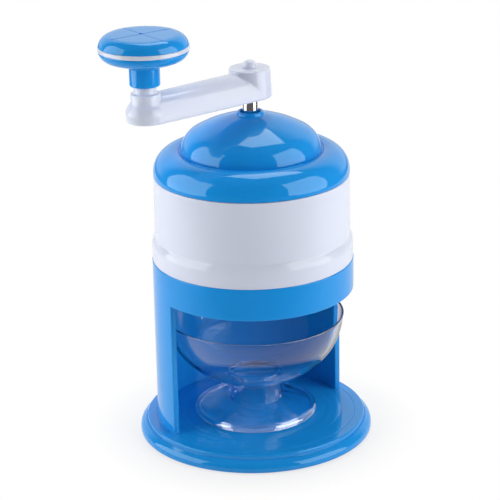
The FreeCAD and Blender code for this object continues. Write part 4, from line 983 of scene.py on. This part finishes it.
# %% Cup
BEAD_R, BEAD_MID, BEAD_Z = 1.95, 31.0, 11.0
STEM_OUT, HOLLOW_R, HOLLOW_TOP = 15.0, 12.9, 27.4
CUP_BOTTOM, CUP_TOP = 28.9, 66.0
cup = turned("clear_cup", [
    (29.3, 10.1), (BEAD_MID, BEAD_Z - BEAD_R, BEAD_R, 1),
    (BEAD_MID + BEAD_R, BEAD_Z, BEAD_R, 1), (BEAD_MID, BEAD_Z + BEAD_R, BEAD_R, 1),
    (29.9, 12.6, BEAD_R, 1), (STEM_OUT, 18.2, 120.0, -1), (STEM_OUT, 29.25),
    (38.9, 43.0, 45.5, 1), (47.65, 65.3, 35.8, 1), (47.95, 65.65, 0.35, 1),
    (47.6, CUP_TOP, 0.36, 1), (46.9, 65.32, 0.6, 1), (37.99, 43.79, 34.6, -1),
    (14.74, 30.42, 44.3, -1), (0, CUP_BOTTOM, 60.0, -1), (0, HOLLOW_TOP),
    (HOLLOW_R, HOLLOW_TOP), (HOLLOW_R, 16.0), (29.2, 10.3)],
    clear, edge=0.1, segments=256, step=0.05)

# %% [markdown]
# Where thick plastic cools it sinks unevenly.  Inside the stem that leaves a wavy surface,
# and its glints are what makes the stem of a cheap cup lively.  Smooth noise moves the
# points of the hollow: its roof up and down, its side in and out.

# %% Uneven stem
RIPPLE_WAVES, RIPPLE = 260.0, 0.35 * MM
HOLLOW_REACH, HOLLOW_FROM, HOLLOW_TO = 13.1 * MM, 15 * MM, 27.6 * MM
ROOF_REACH, SIDE_FROM = 12.6 * MM, 6 * MM
moved = 0
for vert in cup.data.vertices:
    out_from_axis = math.hypot(vert.co.x, vert.co.y)
    if out_from_axis < HOLLOW_REACH and HOLLOW_FROM < vert.co.z < HOLLOW_TO:
        wave = noise_at(vert.co * RIPPLE_WAVES) * RIPPLE
        vert.co.z += wave if out_from_axis < ROOF_REACH else 0.0
        if out_from_axis > SIDE_FROM:
            vert.co.x *= 1 + wave / out_from_axis
            vert.co.y *= 1 + wave / out_from_axis
        moved += 1
fit(cup, "cup", "clear_plastic", "cup")
print("points moved", moved)

# %% [markdown]
# ## Pieces kept from the construction model
#
# The ice floor, the blade and the last small fasteners already have the right shape, so they
# only get their finish.

# %% Finishes for kept pieces
finishes = {"blade_disc": white, "blade": ground, "blade_screws": zinc, "plate_nut": zinc,
            "stop_ring": wire, "knob_washer": zinc, "knob_screw": zinc}
for name, material in finishes.items():
    kept = nodes[name]
    kept.data.materials.clear()
    kept.data.materials.append(material)
    print("finished", name)

# %% [markdown]
# ## Floor and light
#
# A small white table in a studio, wide enough for the shaver and its reflections.  The
# camera, also through the cup, sees it as white, because for those rays it glows; only
# near the base is the glow lower, so that the soft shadow stays.  What the gloss reflects
# is brighter towards the back of the table than at its front.

# %% Floor
TABLE_HALF, TABLE_FRONT, TABLE_BACK = 0.5, -0.7, 1.6
SHADOW_REACH, WHITE_FROM = 0.062, 0.09


def stage_rays(tree):
    """Two 0 or 1 values: seen directly or through the cup, and seen in a reflection."""
    rays = add_node(tree, "ShaderNodeLightPath").outputs
    seen = maths(tree, "MAXIMUM", rays["Is Camera Ray"], rays["Is Transmission Ray"])
    return seen, rays["Is Glossy Ray"]


def towards_back(tree, place):
    """How far a place or a direction lies towards the back of the stage."""
    return add_node(tree, "ShaderNodeVectorMath", {0: place, 1: tuple(to_back)},
                    operation="DOT_PRODUCT").outputs["Value"]


corners = ((-TABLE_HALF, TABLE_FRONT), (TABLE_HALF, TABLE_FRONT),
           (TABLE_HALF, TABLE_BACK), (-TABLE_HALF, TABLE_BACK))
floor_mesh = bpy.data.meshes.new("floor")
floor_mesh.from_pydata([to_right * x + to_back * y for x, y in corners], [], [(0, 1, 2, 3)])
floor_material, tree, shader = new_material("studio floor")
for socket, setting in {"Base Color": (0.9, 0.9, 0.9, 1), "Roughness": 0.9,
                        "Specular IOR Level": 0.0}.items():
    shader.inputs[socket].default_value = setting
seen, reflected = stage_rays(tree)
place = add_node(tree, "ShaderNodeTexCoord").outputs["Object"]
away = add_node(tree, "ShaderNodeVectorMath", {0: place}, operation="LENGTH")
clean = ranged(tree, away.outputs["Value"], SHADOW_REACH, WHITE_FROM, 0.70, 1.0)
share = maths(tree, "MAXIMUM", maths(tree, "MULTIPLY", seen, clean), reflected)
mirrored = ranged(tree, towards_back(tree, place), -0.24, -0.04, 0.12, 0.85)
dimmer = maths(tree, "ADD", mirrored, -1.0)
glow = add_node(tree, "ShaderNodeEmission", {
    "Color": (1, 1, 1, 1), "Strength": maths(tree, "MULTIPLY_ADD", dimmer, reflected, 1.0)})
mix = add_node(tree, "ShaderNodeMixShader", {
    0: share, 1: shader.outputs["BSDF"], 2: glow.outputs["Emission"]})
set_output(tree, mix.outputs[0])
floor = link("floor", floor_mesh, floor_material)
print("table", TABLE_BACK - TABLE_FRONT, "m deep")

# %% [markdown]
# Two tall soft boxes stand left and right and reach below the edge of the table; a third
# hangs level above the shaver, a little behind it, and is turned by 38 degrees.  The side
# of the camera stays dark, and that draws the dark band down the middle of the round
# plastic.  Lamps are set by their radiance, how bright they look, because that is what a
# glossy surface shows.  Power is then radiance times pi times area.

# %% Lamps
def soft_box(name, sideways, back, high, width, height, radiance, level_turn=None):
    """An area lamp; its place is given as the camera sees it, in metres from the shaft.

    It faces the shaft, or hangs level with a turn in radians.
    """
    spot = to_right * sideways + to_back * back + Vector((0, 0, high))
    lamp = bpy.data.lights.new(name, "AREA")
    lamp.shape, lamp.size, lamp.size_y = "RECTANGLE", width, height
    lamp.energy = radiance * math.pi * width * height
    holder = bpy.data.objects.new(name, lamp)
    if level_turn is None:
        facing = (Vector((0, 0, high)) - spot).to_track_quat("-Z", "Y").to_matrix().to_4x4()
    else:
        facing = Matrix.Rotation(level_turn, 4, "Z")
    holder.matrix_world = Matrix.Translation(spot) @ facing
    bpy.context.scene.collection.objects.link(holder)
    print(name, round(lamp.energy, 1), "W")


BOX_HIGH, BOX_TALL, TOP_SIDE = 0.62, 1.60, 0.76
soft_box("right soft box", sideways=1.11, back=-0.45, high=BOX_HIGH, width=1.20,
         height=BOX_TALL, radiance=3.0)
soft_box("left soft box", sideways=-1.19, back=-0.17, high=BOX_HIGH, width=1.36,
         height=BOX_TALL, radiance=2.82)
soft_box("top soft box", sideways=0.10, back=0.54, high=1.35, width=TOP_SIDE,
         height=TOP_SIDE, radiance=3.7, level_turn=math.radians(38.0) - VIEW_TURN)

# %% [markdown]
# The world is plain white to the eye and through the clear cup.  To every other ray it is a
# pale backdrop behind the shaver and a dim room round it, dimmer still on the side where
# the camera stands in the first view.

# %% World
BACKDROP, ROOM_FRONT, ROOM_REST = 0.85, 0.015, 0.12
world = bpy.data.worlds.new("studio")
bpy.context.scene.world = world
world.use_nodes = True
tree = world.node_tree
tree.nodes.clear()
seen = stage_rays(tree)[0]
direction = add_node(tree, "ShaderNodeTexCoord").outputs["Generated"]
behind = towards_back(tree, direction)
height = add_node(tree, "ShaderNodeSeparateXYZ", {"Vector": direction}).outputs["Z"]
backdrop = maths(tree, "MULTIPLY", ranged(tree, behind, 0.50, 0.70, 0.0, BACKDROP),
                 ranged(tree, height, -0.12, 0.02, 0.0, 1.0))
dim = ranged(tree, behind, -0.65, -0.25, ROOM_FRONT, ROOM_REST)
plain = add_node(tree, "ShaderNodeBackground", {"Color": (1, 1, 1, 1), "Strength": 1.0})
room = add_node(tree, "ShaderNodeBackground", {
    "Color": (0.93, 0.95, 1.0, 1), "Strength": dim})
share = maths(tree, "MAXIMUM", seen, backdrop)
mix = add_node(tree, "ShaderNodeMixShader", {
    0: share, 1: room.outputs[0], 2: plain.outputs[0]})
add_node(tree, "ShaderNodeOutputWorld", {"Surface": mix.outputs[0]})
print("world", world.name)

# %% [markdown]
# Clear and glossy pieces need many bounces: light passes four faces or more on its way
# through the cup.  The Standard view keeps colours as they are written.

# %% Rendering choices
bpy.context.scene.view_settings.view_transform = "Standard"
bounces = bpy.context.scene.cycles
bounces.max_bounces, bounces.glossy_bounces, bounces.transmission_bounces = 24, 16, 24
print("bounces", bounces.max_bounces)
